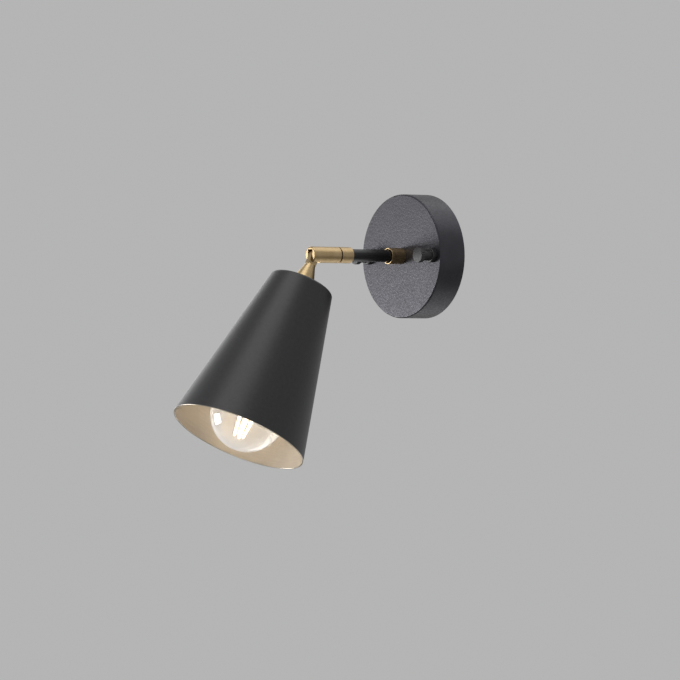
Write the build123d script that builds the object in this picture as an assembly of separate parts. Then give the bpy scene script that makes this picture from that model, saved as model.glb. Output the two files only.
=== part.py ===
"""Pivoting spotlight wall light: a round canopy, a short arm, a swivel, a knuckle and a cone shade.

Millimetres. The wall is the plane Y = 0, the room is on its -Y side, +Z is up.
The origin is the centre of the canopy's back, on the wall.

Two local frames are used. In the arm frame, x is the world's X, y is up and z runs out of the
wall along the arm. In the head frame, the origin is the knuckle's pivot and z runs down the head,
from the pivot to the shade's mouth.
"""

import os
from math import atan2, cos, degrees, radians, sin, sqrt

from build123d import *

# ---------------------------------------------------------------- clearances
SLIP = 0.05           # radial clearance of a shaft, screw or thread in its hole
EASY = 0.2            # clearance of a hole that only locates
LOOSE = 0.3           # clearance between pieces that only pass each other
SMALL_EDGE = 0.3      # rounding of the brass barrels' edges

# ---------------------------------------------------------------- bracket
STRAP_WIDTH = 20.0
STRAP_THICK = 2.0
STRAP_CORNER = 4.0
STRAP_END = 6.0       # from a stud's axis to the strap's end
CABLE_HOLE_R = 6.0
SLOT_SPACING = 60.0
SLOT_LENGTH = 10.0
SLOT_WIDTH = 4.5
EAR_MARGIN = 1.5      # ear beyond the terminal block, at its sides
EAR_TOE = 2.5         # ear beyond the terminal block, at its foot

# ---------------------------------------------------------------- studs and thumb nuts
STUD_BEYOND = 5.0     # from the end of a wall-screw slot to the stud's axis
STUD_R = 2.0
STUD_REACH = 10.0     # beyond the canopy's face
STUD_HEAD_R = 3.5
STUD_HEAD = 1.0
STUD_CHAMFER = 0.4
STUD_NUT_AF = 7.0
STUD_NUT = 3.2
KNOB_R = 6.0
KNOB_NECK_R = 4.5
KNOB_FLANGE = 4.5
KNOB_NECK = 7.5
KNOB_HEAD = 4.0
KNOB_EDGE = 0.5
KNOB_GRIPS = 24
KNOB_GRIP_R = 0.3
KNOB_SPARE = 1.0      # bore past the stud's end

# ---------------------------------------------------------------- canopy
CANOPY_RIM = 10.0     # from a stud's axis to the canopy's edge
CANOPY_DEPTH = 25.0
CANOPY_WALL = 1.2
CANOPY_EDGE = 1.2

# ---------------------------------------------------------------- terminal block and earth
BLOCK_WIDTH = 21.0
BLOCK_HEIGHT = 17.0
BLOCK_DEPTH = 13.0
BLOCK_EDGE = 1.5
BLOCK_BELOW = 15.5    # from the arm's axis down to the block
BLOCK_PITCH = 10.0
INSERT_R = 2.5
INSERT_BORE = 1.3
INSERT_Z = 6.0        # above the strap
INSERT_INSET = 1.0
CLAMP_R = 1.3
CLAMP_Y = 4.5
CLAMP_SUNK = 1.0
BLOCK_SCREW_R = 1.4
BLOCK_SCREW_HEAD_R = 2.2
BLOCK_SCREW_HEAD = 1.5
EARTH_R = 2.0
EARTH_HEAD_R = 3.5
EARTH_HEAD = 2.4
EARTH_WASHER_R = 3.3
TAG_THICK = 0.8
TAG_WASHER = 1.0
TAG_WALL = 0.5
TAG_TAIL = 5.8        # from the earth screw's axis to the end of the crimped barrel

# ---------------------------------------------------------------- arm
ARM_REACH = 89.0      # from the canopy's face to the knuckle's pivot
TUBE_R = 5.0
TUBE_BORE = 3.5
TUBE_TAIL = 5.8       # tube past its lock nut, inside the canopy
TUBE_CLEAR = 1.2      # from the tube's end to the spindle's
BUSH_BORE = 2.5
BUSH_FLANGE_R = 4.8
BUSH_FLANGE = 1.5
BUSH_LENGTH = 5.0
LOCK_NUT_AF = 14.0
LOCK_NUT = 3.0
LOCK_WASHER = 1.0
LOCK_WASHER_R = 7.0
COLLAR_LENGTH = 14.0
COLLAR_SEAT = 6.0     # length that grips the tube
COLLAR_MOUTH_GAP = 0.7
COLLAR_WALL = 0.8     # at its open mouth

# ---------------------------------------------------------------- swivel
BRASS_WALL = 1.5      # of the swivel base, round the tube
BASE_LENGTH = 11.5
BASE_WEB = 2.3
SPINDLE_R = 3.5
SPINDLE_TAIL = 1.7    # past the web, room for the clip
SPINDLE_BORE = 2.3
CLIP_GROOVE = 0.6
CLIP_INSET = 0.4      # between the clip and the base's bore
CLIP_THICK = 0.8
CLIP_GAP = 4.0
SWIVEL_GAP = 1.0      # groove that shows between the two barrels
SWIVEL_GROOVE = 0.8   # depth of that groove
SIDE = 0.05           # clearance on each side of a friction washer
STOP_PIN_R = 0.5
STOP_DEPTH = 1.2
STOP_SEAT = 2.0
SWIVEL_TRAVEL = 165.0
BARREL_BACK = 23.0    # from the groove to the pivot
BARREL_NOSE = 4.5     # from the pivot to the barrel's end
BARREL_EDGE = 1.0

# ---------------------------------------------------------------- knuckle
TILT = 28.0           # rest angle of the head, out from straight down
TONGUE_R = 3.9
TONGUE_THICK = 4.4
FRICTION_WASHER = 0.6
FRICTION_WASHER_R = 3.6
PIVOT_R = 1.5
PIVOT_HEAD_R = 2.5
PIVOT_HEAD = 1.1
PIVOT_GRIP = 1.9      # wall under the screw's head
PIVOT_THREAD = 2.1    # depth in the other ear
CONE_CLEAR = 0.7      # between the barrel's corner and the cone as it turns
CONE_LENGTH = 18.4
CONE_BASE_R = 9.9
CONE_SHOULDER = 0.8
CONE_EDGE = 0.5
WIRE_HOLE_R = 1.8
WIRE_HOLE_WEB = 1.7   # metal between the pivot hole and the wire hole
NIPPLE_GRIP = 12.0
NIPPLE_SPARE = 1.0

# ---------------------------------------------------------------- shade
SHADE_TOP_R = 25.8
SHADE_MOUTH_R = 55.0
SHADE_HEIGHT = 137.0
SHADE_WALL = 1.0
SHADE_EDGE = 2.5
NIPPLE_R = 5.0
NIPPLE_BORE = 3.5
SHADE_WASHER_R = 12.0
SHADE_WASHER = 1.0
SHADE_NUT_AF = 14.0
SHADE_NUT = 3.0

# ---------------------------------------------------------------- lamp holder
HOLDER_R = 19.0
HOLDER_WALL = 1.5
HOLDER_NECK_R = 7.5
HOLDER_NECK = 5.5
HOLDER_CAP_LENGTH = 16.5
HOLDER_LENGTH = 36.0
HOLDER_SPIGOT = 5.0
HOLDER_SPIGOT_WALL = 0.5
HOLDER_EDGE = 2.0
HOLDER_LIP_EDGE = 0.5
HOLDER_FLOOR = 4.0    # thickness below the insulating base
HOLDER_SEAT = 7.8     # from the joint of cap and body to the base's lower face
BASE_DISC = 6.0
SHELL_WALL = 0.5
SHELL_LENGTH = 26.0
SHELL_LIP = 3.0
PILLAR_X = 9.5
PILLAR_R = 2.75
PILLAR_HEIGHT = 7.5
PILLAR_SCREW_R = 1.0
PILLAR_SCREW_PROUD = 1.0
EARTH_PILLAR_Y = 10.5
CONTACT_ROOM = 3.8    # from the insulating base to the bulb's tip
SPRING_WIDTH = 5.0
SPRING_THICK = 0.5
SPRING_REACH = 9.0
GRUB_R = 1.5

# ---------------------------------------------------------------- bulb
BULB_R = 30.0
BULB_LENGTH = 108.0
GLASS_WALL = 0.8
NECK_R = 14.0
NECK_RISE = 5.3       # straight neck from the cap to the hollow curve
NECK_DEPTH = 10.5     # how far the glass reaches into its cap
CAP_R = 13.1          # crest of the cap's thread
CAP_THREAD = 0.85     # depth of the thread
CAP_WALL = 0.4
CAP_LENGTH = 21.0
CAP_RIBS = 4
CAP_PITCH = 3.6
CAP_LIP = 3.0         # width of the cap's turned-in end
INSULATOR = 4.0
INSULATOR_STEP = 1.0
TIP_R = 4.5
TIP = 1.2
TIP_EDGE = 0.6
DRIVER_INSET = 1.3
DRIVER_LEVEL = 5.0
DRIVER_THICK = 1.2
DRIVER_FOOT_R = 3.0
DRIVER_BLOCK = (8.0, 10.0, 3.0)
STEM_R = 3.0
STEM_BORE = 1.2
STEM_BELOW = 17.8     # from the globe's centre down to the stem's top
STEM_FLARE = 10.0
STEM_FLARE_DEPTH = 5.0
FILAMENTS = 4
FILAMENT_R = 1.0
FILAMENT_LIFT = 3.0   # from the stem's top
FILAMENT_BEYOND = 20.2  # from the globe's centre to their far ends
FILAMENT_NEAR = 7.5   # radius of their circle at the stem
FILAMENT_FAR = 3.5    # and at the far end
SUPPORT_R = 0.3
SUPPORT_HUB_R = 1.2
HUB_LIFT = 2.0

# ---------------------------------------------------------------- leads
LEAD_R = 0.7
LEAD_RING = 1.0       # the three leads lie on a circle of this radius
LEAD_BEND = 4.2
LEAD_PLAY = 0.5       # from a lead's cut end to the joint it stops at
LEAD_TAIL = 4.0       # lead inside a terminal, and straight before its bend

# ---------------------------------------------------------------- places along the arm
STUD_X = SLOT_SPACING / 2 + SLOT_LENGTH / 2 + STUD_BEYOND
STRAP_HALF = STUD_X + STRAP_END
CANOPY_R = STUD_X + CANOPY_RIM
CANOPY_INSIDE = CANOPY_DEPTH - CANOPY_WALL
STUD_END = CANOPY_DEPTH + STUD_REACH
KNOB_START = CANOPY_DEPTH + SLIP
KNOB_NECK_START = CANOPY_DEPTH + KNOB_FLANGE
KNOB_HEAD_START = KNOB_NECK_START + KNOB_NECK
KNOB_END = KNOB_HEAD_START + KNOB_HEAD
BLOCK_DROP = BLOCK_BELOW + BLOCK_HEIGHT / 2
BLOCK_TOP = STRAP_THICK + BLOCK_DEPTH
INSERT_LEVEL = STRAP_THICK + INSERT_Z
EAR_WIDTH = BLOCK_WIDTH + 2 * EAR_MARGIN
EAR_DROP = BLOCK_DROP + BLOCK_HEIGHT / 2 + EAR_TOE - STRAP_WIDTH / 2
EARTH_X = -(CABLE_HOLE_R + SLOT_SPACING / 2 - SLOT_LENGTH / 2) / 2
TAG_LEVEL = STRAP_THICK + TAG_THICK
LOCK_WASHER_BACK = CANOPY_INSIDE - LOCK_WASHER
LOCK_NUT_BACK = LOCK_WASHER_BACK - LOCK_NUT
COLLAR_END = CANOPY_DEPTH + COLLAR_LENGTH
COLLAR_MOUTH = TUBE_R + COLLAR_MOUTH_GAP
COLLAR_R = COLLAR_MOUTH + COLLAR_WALL
PIVOT = CANOPY_DEPTH + ARM_REACH
BARREL_START = PIVOT - BARREL_BACK
BARREL_END = PIVOT + BARREL_NOSE
BRASS_R = TUBE_R + BRASS_WALL
BASE_END = BARREL_START - SWIVEL_GAP
BASE_START = BASE_END - BASE_LENGTH
BASE_WEB_BACK = BASE_END - BASE_WEB
SPINDLE_BACK = BASE_WEB_BACK - SPINDLE_TAIL
CLIP_SEAT_R = SPINDLE_R - CLIP_GROOVE
CLIP_END = BASE_WEB_BACK - EASY
CLIP_START = CLIP_END - CLIP_THICK
CLIP_R = TUBE_R - CLIP_INSET
SWIVEL_WASHER_R = BRASS_R - SWIVEL_GROOVE
STOP_R = (SPINDLE_R + SWIVEL_WASHER_R) / 2
TUBE_START = LOCK_NUT_BACK - TUBE_TAIL
TUBE_END = SPINDLE_BACK - TUBE_CLEAR
SLOT_HALF = TONGUE_THICK / 2 + FRICTION_WASHER + 2 * SIDE
SLOT_R = TONGUE_R + LOOSE
PIVOT_SEAT = SLOT_HALF + PIVOT_GRIP
PIVOT_DEPTH = SLOT_HALF + PIVOT_THREAD

# ---------------------------------------------------------------- places down the head
CONE_START = sqrt(BARREL_NOSE**2 + BRASS_R**2) + CONE_CLEAR
CONE_END = CONE_START + CONE_LENGTH
WIRE_EXIT = PIVOT_R + WIRE_HOLE_WEB + WIRE_HOLE_R
NIPPLE_SEAT = CONE_END - NIPPLE_GRIP
SHADE_END = CONE_END + SHADE_HEIGHT
SHADE_INSIDE = CONE_END + SHADE_WALL
SHADE_NUT_START = SHADE_INSIDE + SHADE_WASHER
SHADE_NUT_END = SHADE_NUT_START + SHADE_NUT
HOLDER_TOP = SHADE_NUT_END + EASY
HOLDER_PLATE = HOLDER_TOP + HOLDER_NECK
HOLDER_INSIDE = HOLDER_PLATE + HOLDER_WALL
HOLDER_BORE = HOLDER_R - HOLDER_WALL
HOLDER_JOINT = HOLDER_PLATE + HOLDER_CAP_LENGTH
HOLDER_END = HOLDER_JOINT + HOLDER_LENGTH
NIPPLE_END = HOLDER_INSIDE - EASY
BASE_DISC_R = HOLDER_BORE - HOLDER_SPIGOT_WALL
BASE_DISC_END = HOLDER_JOINT + HOLDER_SEAT
BASE_DISC_START = BASE_DISC_END - BASE_DISC
SHELL_R = CAP_R + LOOSE
SHELL_OUTER_R = SHELL_R + SHELL_WALL
PILLAR_START = BASE_DISC_START - PILLAR_HEIGHT
PILLAR_BORE = LEAD_R + EASY
LEAD_LEVEL = PILLAR_START + PILLAR_HEIGHT / 2
EARTH_LEVEL = HOLDER_INSIDE + PILLAR_HEIGHT / 2
BULB_TIP = BASE_DISC_END + CONTACT_ROOM
BULB_CENTRE = BULB_TIP + BULB_LENGTH - BULB_R
CAP_START = BULB_TIP + TIP + INSULATOR
CAP_END = CAP_START + CAP_LENGTH
CAP_ROOT = CAP_R - CAP_THREAD
CAP_BORE = CAP_ROOT - CAP_WALL
NECK_FOOT_R = CAP_BORE - LOOSE
NECK_DROP = BULB_CENTRE - CAP_END - NECK_RISE
NECK_BLEND = (NECK_DROP**2 - BULB_R**2 + NECK_R**2) / (2 * (BULB_R - NECK_R))
STEM_TOP = BULB_CENTRE - STEM_BELOW
FILAMENT_START = (FILAMENT_NEAR, STEM_TOP + FILAMENT_LIFT)
FILAMENT_STOP = (FILAMENT_FAR, BULB_CENTRE + FILAMENT_BEYOND)
HUB_LEVEL = FILAMENT_STOP[1] + HUB_LIFT
LEAD_PLACES = {
    name: (LEAD_RING * cos(radians(angle)), LEAD_RING * sin(radians(angle)))
    for name, angle in (("live", 330), ("neutral", 210), ("earth", 90))
}

ARM_FRAME = Plane(origin=(0, 0, 0), x_dir=(1, 0, 0), z_dir=(0, -1, 0))
HEAD_FRAME = Plane(
    origin=(0, -PIVOT, 0),
    x_dir=(1, 0, 0),
    z_dir=(0, -sin(radians(TILT)), -cos(radians(TILT))),
)

UPWARD = (Align.CENTER, Align.CENTER, Align.MIN)


# ---------------------------------------------------------------- small helpers
def rod(radius, start, end):
    """A cylinder on the local z axis."""
    return Pos(0, 0, start) * Cylinder(radius, end - start, align=UPWARD)


def ring(outer, inner, start, end):
    """A tube on the local z axis."""
    return rod(outer, start, end) - rod(inner, start, end)


def cone(start_radius, end_radius, start, end):
    """A cone on the local z axis."""
    return Pos(0, 0, start) * Cone(start_radius, end_radius, end - start, align=UPWARD)


def turned(points):
    """A solid of revolution about the local z axis, from (radius, height) points."""
    outline = Wire.make_polygon([Vector(r, 0, z) for r, z in points], close=True)
    return revolve(Face(outline), Axis.Z)


def slab(low, high):
    """A box between two corners."""
    size = [b - a for a, b in zip(low, high)]
    return Pos(*low) * Box(*size, align=(Align.MIN, Align.MIN, Align.MIN))


def hexagon(across_flats, start, end):
    """A hexagonal prism on the local z axis."""
    outline = RegularPolygon(across_flats / 2, 6, major_radius=False)
    return Pos(0, 0, start) * extrude(outline, end - start)


def along_x(shape):
    """Turns a shape made on the z axis to lie on the x axis."""
    return Rot(0, 90, 0) * shape


def along_y(shape):
    """Turns a shape made on the z axis to lie on the y axis."""
    return Rot(-90, 0, 0) * shape


def circles(shape, radius, height):
    """The circular edges of a shape that have one radius and one height."""
    return [
        edge
        for edge in shape.edges().filter_by(GeomType.CIRCLE)
        if abs(edge.radius - radius) < 0.01 and abs(edge.arc_center.Z - height) < 0.01
    ]


def group(shapes):
    """Separate solids that share one node."""
    return Compound([solid for shape in shapes for solid in shape.solids()])


def lead(*points):
    """A round wire through the points, with each corner as one arc."""
    bends = [LEAD_BEND] * (len(points) - 2)
    path = FilletPolyline(*points, radius=bends) if bends else Line(*points)
    section = Plane(origin=points[0], z_dir=path % 0) * Circle(LEAD_R)
    return sweep(section, path=path)


# ---------------------------------------------------------------- bracket
def wall_bracket():
    outline = RectangleRounded(2 * STRAP_HALF, STRAP_WIDTH, STRAP_CORNER)
    ear = RectangleRounded(EAR_WIDTH, STRAP_WIDTH + EAR_DROP, STRAP_CORNER)
    outline += Pos(0, -EAR_DROP / 2) * ear
    outline -= Circle(CABLE_HOLE_R)
    for side in (-1, 1):
        outline -= Pos(side * SLOT_SPACING / 2, 0) * SlotOverall(SLOT_LENGTH, SLOT_WIDTH)
        outline -= Pos(side * STUD_X, 0) * Circle(STUD_R + SLIP)
    outline -= Pos(EARTH_X, LEAD_RING) * Circle(EARTH_R + SLIP)
    outline -= Pos(0, -BLOCK_DROP) * Circle(BLOCK_SCREW_R + SLIP)
    plate = extrude(outline, STRAP_THICK)
    for side in (-1, 1):
        plate -= Pos(side * STUD_X, 0) * rod(STUD_HEAD_R + SLIP, 0, STUD_HEAD + SLIP)
    return plate


def bracket_studs():
    stud = rod(STUD_HEAD_R, SLIP, STUD_HEAD) + rod(STUD_R, SLIP, STUD_END)
    stud = chamfer(circles(stud, STUD_R, STUD_END), STUD_CHAMFER)
    return group([Pos(side * STUD_X, 0, 0) * stud for side in (-1, 1)])


def stud_lock_nuts():
    nut = hexagon(STUD_NUT_AF, STRAP_THICK, STRAP_THICK + STUD_NUT)
    nut -= rod(STUD_R + SLIP, STRAP_THICK, STRAP_THICK + STUD_NUT)
    return group([Pos(side * STUD_X, 0, 0) * nut for side in (-1, 1)])


def canopy():
    cup = rod(CANOPY_R, 0, CANOPY_DEPTH)
    cup = fillet(circles(cup, CANOPY_R, CANOPY_DEPTH), CANOPY_EDGE)
    cup -= rod(CANOPY_R - CANOPY_WALL, 0, CANOPY_INSIDE)
    cup -= rod(TUBE_R + EASY, CANOPY_INSIDE, CANOPY_DEPTH)
    for side in (-1, 1):
        cup -= Pos(side * STUD_X, 0, 0) * rod(STUD_R + EASY, CANOPY_INSIDE, CANOPY_DEPTH)
    return cup


def thumb_nut(side):
    """A spool: flange against the canopy, neck, and a gripped head."""
    spool = rod(KNOB_R, KNOB_START, KNOB_NECK_START)
    spool += rod(KNOB_NECK_R, KNOB_NECK_START, KNOB_HEAD_START)
    spool += rod(KNOB_R, KNOB_HEAD_START, KNOB_END)
    edges = circles(spool, KNOB_R, KNOB_NECK_START)
    edges += circles(spool, KNOB_R, KNOB_HEAD_START)
    edges += circles(spool, KNOB_R, KNOB_END)
    spool = fillet(edges, KNOB_EDGE)
    for index in range(KNOB_GRIPS):
        groove = Pos(KNOB_R, 0, 0) * rod(KNOB_GRIP_R, KNOB_HEAD_START, KNOB_END)
        spool -= Rot(0, 0, index * 360 / KNOB_GRIPS) * groove
    spool -= rod(STUD_R + SLIP, KNOB_START, STUD_END + KNOB_SPARE)
    return Pos(side * STUD_X, 0, 0) * spool


# ---------------------------------------------------------------- terminal block and earth
def block_places():
    """The insert axes, left and right of the block's centre."""
    return [(side * BLOCK_PITCH / 2, -BLOCK_DROP) for side in (-1, 1)]


def terminal_block():
    block = slab(
        (-BLOCK_WIDTH / 2, -BLOCK_DROP - BLOCK_HEIGHT / 2, STRAP_THICK),
        (BLOCK_WIDTH / 2, -BLOCK_DROP + BLOCK_HEIGHT / 2, BLOCK_TOP),
    )
    block = fillet(block.edges().filter_by(Axis.Z), BLOCK_EDGE)
    channel = along_y(rod(INSERT_R + SLIP, -BLOCK_HEIGHT / 2, BLOCK_HEIGHT / 2))
    for x, y in block_places():
        block -= Pos(x, y, INSERT_LEVEL) * channel
        for offset in (-CLAMP_Y, CLAMP_Y):
            block -= Pos(x, y + offset, 0) * rod(CLAMP_R + LOOSE, INSERT_LEVEL, BLOCK_TOP)
    head_seat = INSERT_LEVEL + INSERT_R
    block -= Pos(0, -BLOCK_DROP, 0) * rod(BLOCK_SCREW_R + SLIP, STRAP_THICK, BLOCK_TOP)
    block -= Pos(0, -BLOCK_DROP, 0) * rod(BLOCK_SCREW_HEAD_R + LOOSE, head_seat, BLOCK_TOP)
    return block


def terminal_inserts():
    half = BLOCK_HEIGHT / 2 - INSERT_INSET
    inserts = []
    for x, y in block_places():
        insert = Pos(x, y, INSERT_LEVEL) * along_y(ring(INSERT_R, INSERT_BORE, -half, half))
        for offset in (-CLAMP_Y, CLAMP_Y):
            hole = rod(CLAMP_R + SLIP, INSERT_LEVEL, INSERT_LEVEL + INSERT_R)
            insert -= Pos(x, y + offset, 0) * hole
        inserts.append(insert)
    return group(inserts)


def slotted(head_radius, top):
    """The screwdriver slot in a screw head of this radius whose top is at this height."""
    width = head_radius / 4
    depth = head_radius / 3
    return slab((-2 * head_radius, -width / 2, top - depth), (2 * head_radius, width / 2, top))


def terminal_screws():
    top = BLOCK_TOP - CLAMP_SUNK
    screw = rod(CLAMP_R, INSERT_LEVEL + LEAD_R + SLIP, top) - slotted(CLAMP_R, top)
    places = [(x, y + offset) for x, y in block_places() for offset in (-CLAMP_Y, CLAMP_Y)]
    return group([Pos(x, y, 0) * screw for x, y in places])


def block_screw():
    seat = INSERT_LEVEL + INSERT_R
    top = seat + BLOCK_SCREW_HEAD
    screw = rod(BLOCK_SCREW_R, SLIP, seat) + rod(BLOCK_SCREW_HEAD_R, seat, top)
    return Pos(0, -BLOCK_DROP, 0) * (screw - slotted(BLOCK_SCREW_HEAD_R, top))


def earth_tag():
    """Ring tag under the earth screw, with a crimped barrel for the lead."""
    start = EARTH_HEAD_R + LOOSE
    bore_r = LEAD_R + SLIP
    barrel_r = bore_r + TAG_WALL
    tag = rod(EARTH_HEAD_R, STRAP_THICK, TAG_LEVEL)
    tag += slab((0, -barrel_r, STRAP_THICK), (TAG_TAIL, barrel_r, TAG_LEVEL))
    tag -= rod(EARTH_R + SLIP, STRAP_THICK, TAG_LEVEL)
    tag += Pos(0, 0, TAG_LEVEL + LEAD_R) * along_x(rod(barrel_r, start, TAG_TAIL))
    tag -= Pos(0, 0, TAG_LEVEL + LEAD_R) * along_x(rod(bore_r, start, TAG_TAIL))
    return Pos(EARTH_X, LEAD_RING, 0) * tag


def earth_washer():
    washer = ring(EARTH_WASHER_R, EARTH_R + SLIP, TAG_LEVEL, TAG_LEVEL + TAG_WASHER)
    return Pos(EARTH_X, LEAD_RING, 0) * washer


def earth_screw():
    seat = TAG_LEVEL + TAG_WASHER
    top = seat + EARTH_HEAD
    screw = rod(EARTH_R, SLIP, seat) + rod(EARTH_HEAD_R, seat, top)
    return Pos(EARTH_X, LEAD_RING, 0) * (screw - slotted(EARTH_HEAD_R, top))


# ---------------------------------------------------------------- arm
def arm_tube():
    return ring(TUBE_R, TUBE_BORE, TUBE_START, TUBE_END)


def tube_bush():
    """Plastic bush that keeps the leads off the tube's cut end."""
    flange = rod(BUSH_FLANGE_R, TUBE_START - BUSH_FLANGE, TUBE_START)
    barrel = rod(TUBE_BORE - SLIP, TUBE_START, TUBE_START + BUSH_LENGTH)
    bore = rod(BUSH_BORE, TUBE_START - BUSH_FLANGE, TUBE_START + BUSH_LENGTH)
    return flange + barrel - bore


def arm_lock_nut():
    nut = hexagon(LOCK_NUT_AF, LOCK_NUT_BACK, LOCK_WASHER_BACK)
    return nut - rod(TUBE_R + SLIP, LOCK_NUT_BACK, LOCK_WASHER_BACK)


def lock_washer():
    return ring(LOCK_WASHER_R, TUBE_R + SLIP, LOCK_WASHER_BACK, CANOPY_INSIDE)


def arm_collar():
    collar = ring(COLLAR_R, TUBE_R + SLIP, CANOPY_DEPTH, COLLAR_END)
    collar -= rod(COLLAR_MOUTH, CANOPY_DEPTH + COLLAR_SEAT, COLLAR_END)
    return collar


def swivel_base():
    base = rod(BRASS_R, BASE_START, BASE_END)
    edges = circles(base, BRASS_R, BASE_START) + circles(base, BRASS_R, BASE_END)
    base = fillet(edges, SMALL_EDGE)
    base -= rod(TUBE_R + SLIP, BASE_START, BASE_WEB_BACK)
    base -= rod(SPINDLE_R + SLIP, BASE_WEB_BACK, BASE_END)
    return base - stop_groove()


def stop_groove():
    """Arc that the stop pin runs in, from one end of the travel to the other, over the top."""
    width = STOP_PIN_R + SLIP
    start = BASE_END - STOP_DEPTH
    groove = ring(STOP_R + width, STOP_R - width, start, BASE_END)
    land = radians(180 - SWIVEL_TRAVEL)
    reach = 2 * BRASS_R
    corner = (reach * sin(land), -reach * cos(land))
    wedge = Wire.make_polygon([Vector(0, 0, start), Vector(*corner, start),
                               Vector(-corner[0], corner[1], start)], close=True)
    groove -= extrude(Face(wedge), STOP_DEPTH, dir=(0, 0, 1))
    for side in (-1, 1):
        end = Pos(side * STOP_R * sin(land), -STOP_R * cos(land), 0)
        groove += end * rod(width, start, BASE_END)
    return groove


# ---------------------------------------------------------------- swivel
def knuckle_slot():
    """The room that the tongue turns in, open at the barrel's end and below it."""
    reach = 2 * BRASS_R
    pivot = Pos(0, 0, PIVOT)
    turn = pivot * along_x(rod(SLOT_R, -SLOT_HALF, SLOT_HALF))
    below = slab((-SLOT_HALF, -reach, PIVOT - SLOT_R), (SLOT_HALF, 0, PIVOT + reach))
    outward = slab((-SLOT_HALF, -reach, PIVOT), (SLOT_HALF, SLOT_R, PIVOT + reach))
    return turn + below + outward


def swivel_barrel():
    barrel = rod(BRASS_R, BARREL_START, BARREL_END)
    barrel = fillet(circles(barrel, BRASS_R, BARREL_END), BARREL_EDGE)
    barrel = fillet(circles(barrel, BRASS_R, BARREL_START), SMALL_EDGE)
    barrel += rod(SPINDLE_R, SPINDLE_BACK, BARREL_START)
    barrel -= ring(SPINDLE_R, CLIP_SEAT_R, CLIP_START - SLIP, CLIP_END + SLIP)
    barrel -= rod(SPINDLE_BORE, SPINDLE_BACK, PIVOT - SLOT_R)
    barrel -= knuckle_slot()
    barrel -= Pos(0, STOP_R, 0) * rod(STOP_PIN_R + SLIP, BARREL_START, BARREL_START + STOP_SEAT)
    pivot = Pos(0, 0, PIVOT)
    barrel -= pivot * along_x(rod(PIVOT_R + SLIP, -PIVOT_SEAT, PIVOT_DEPTH + SLIP))
    barrel -= pivot * along_x(rod(PIVOT_HEAD_R + SLIP, -2 * BRASS_R, -PIVOT_SEAT))
    return barrel


def swivel_clip():
    clip = ring(CLIP_R, CLIP_SEAT_R + SLIP, CLIP_START, CLIP_END)
    return clip - slab((-CLIP_GAP / 2, 0, CLIP_START), (CLIP_GAP / 2, 2 * CLIP_R, CLIP_END))


def swivel_washer():
    washer = ring(SWIVEL_WASHER_R, SPINDLE_R + SLIP, BASE_END + SIDE, BARREL_START - SIDE)
    return washer - Pos(0, STOP_R, 0) * rod(STOP_PIN_R + SLIP, BASE_END, BARREL_START)


def stop_pin():
    start = BASE_END - STOP_DEPTH + EASY
    end = BARREL_START + STOP_SEAT - SLIP
    return Pos(0, STOP_R, 0) * rod(STOP_PIN_R, start, end)


def pivot_screw():
    top = PIVOT_SEAT + PIVOT_HEAD
    shank = rod(PIVOT_R, -PIVOT_DEPTH, PIVOT_SEAT)
    head = rod(PIVOT_HEAD_R, PIVOT_SEAT, top) - slotted(PIVOT_HEAD_R, top)
    return Pos(0, 0, PIVOT) * Rot(0, -90, 0) * (shank + head)


def knuckle_washers():
    start = TONGUE_THICK / 2 + SIDE
    washer = along_x(ring(FRICTION_WASHER_R, PIVOT_R + SLIP, start, start + FRICTION_WASHER))
    pivot = Pos(0, 0, PIVOT)
    return group([pivot * washer, pivot * Rot(0, 180, 0) * washer])


# ---------------------------------------------------------------- head
def knuckle_cone():
    """Round tongue, neck and cone in one turned and milled piece."""
    half = TONGUE_THICK / 2
    tongue = along_x(rod(TONGUE_R, -half, half))
    tongue += slab((-half, -TONGUE_R, 0), (half, TONGUE_R, CONE_START + CONE_SHOULDER))
    body = cone(TONGUE_R, CONE_BASE_R, CONE_START, CONE_END)
    body = fillet(circles(body, TONGUE_R, CONE_START), CONE_SHOULDER)
    body = fillet(circles(body, CONE_BASE_R, CONE_END), CONE_EDGE)
    piece = tongue + body
    piece -= along_x(rod(PIVOT_R + SLIP, -half, half))
    piece -= rod(NIPPLE_R + SLIP, NIPPLE_SEAT, CONE_END)
    piece -= rod(WIRE_HOLE_R, WIRE_EXIT, NIPPLE_SEAT)
    piece -= Pos(0, -2 * TONGUE_R, WIRE_EXIT) * along_y(rod(WIRE_HOLE_R, 0, 2 * TONGUE_R))
    return piece


def head_nipple():
    return ring(NIPPLE_R, NIPPLE_BORE, NIPPLE_SEAT + NIPPLE_SPARE, NIPPLE_END)


def shade():
    """Cone with a flat top, spun from one sheet."""
    lean = sqrt(SHADE_HEIGHT**2 + (SHADE_MOUTH_R - SHADE_TOP_R) ** 2) / SHADE_HEIGHT
    inset = SHADE_WALL * lean
    slope = (SHADE_MOUTH_R - SHADE_TOP_R) / SHADE_HEIGHT
    inner_top = SHADE_TOP_R + slope * SHADE_WALL - inset
    outer = cone(SHADE_TOP_R, SHADE_MOUTH_R, CONE_END, SHADE_END)
    outer = fillet(circles(outer, SHADE_TOP_R, CONE_END), SHADE_EDGE)
    inner = cone(inner_top, SHADE_MOUTH_R - inset, SHADE_INSIDE, SHADE_END)
    inner = fillet(circles(inner, inner_top, SHADE_INSIDE), SHADE_EDGE - SHADE_WALL)
    return outer - inner - rod(NIPPLE_R + EASY, CONE_END, SHADE_INSIDE)


def shade_washer():
    return ring(SHADE_WASHER_R, NIPPLE_R + SLIP, SHADE_INSIDE, SHADE_NUT_START)


def shade_nut():
    nut = hexagon(SHADE_NUT_AF, SHADE_NUT_START, SHADE_NUT_END)
    return nut - rod(NIPPLE_R + SLIP, SHADE_NUT_START, SHADE_NUT_END)


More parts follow.
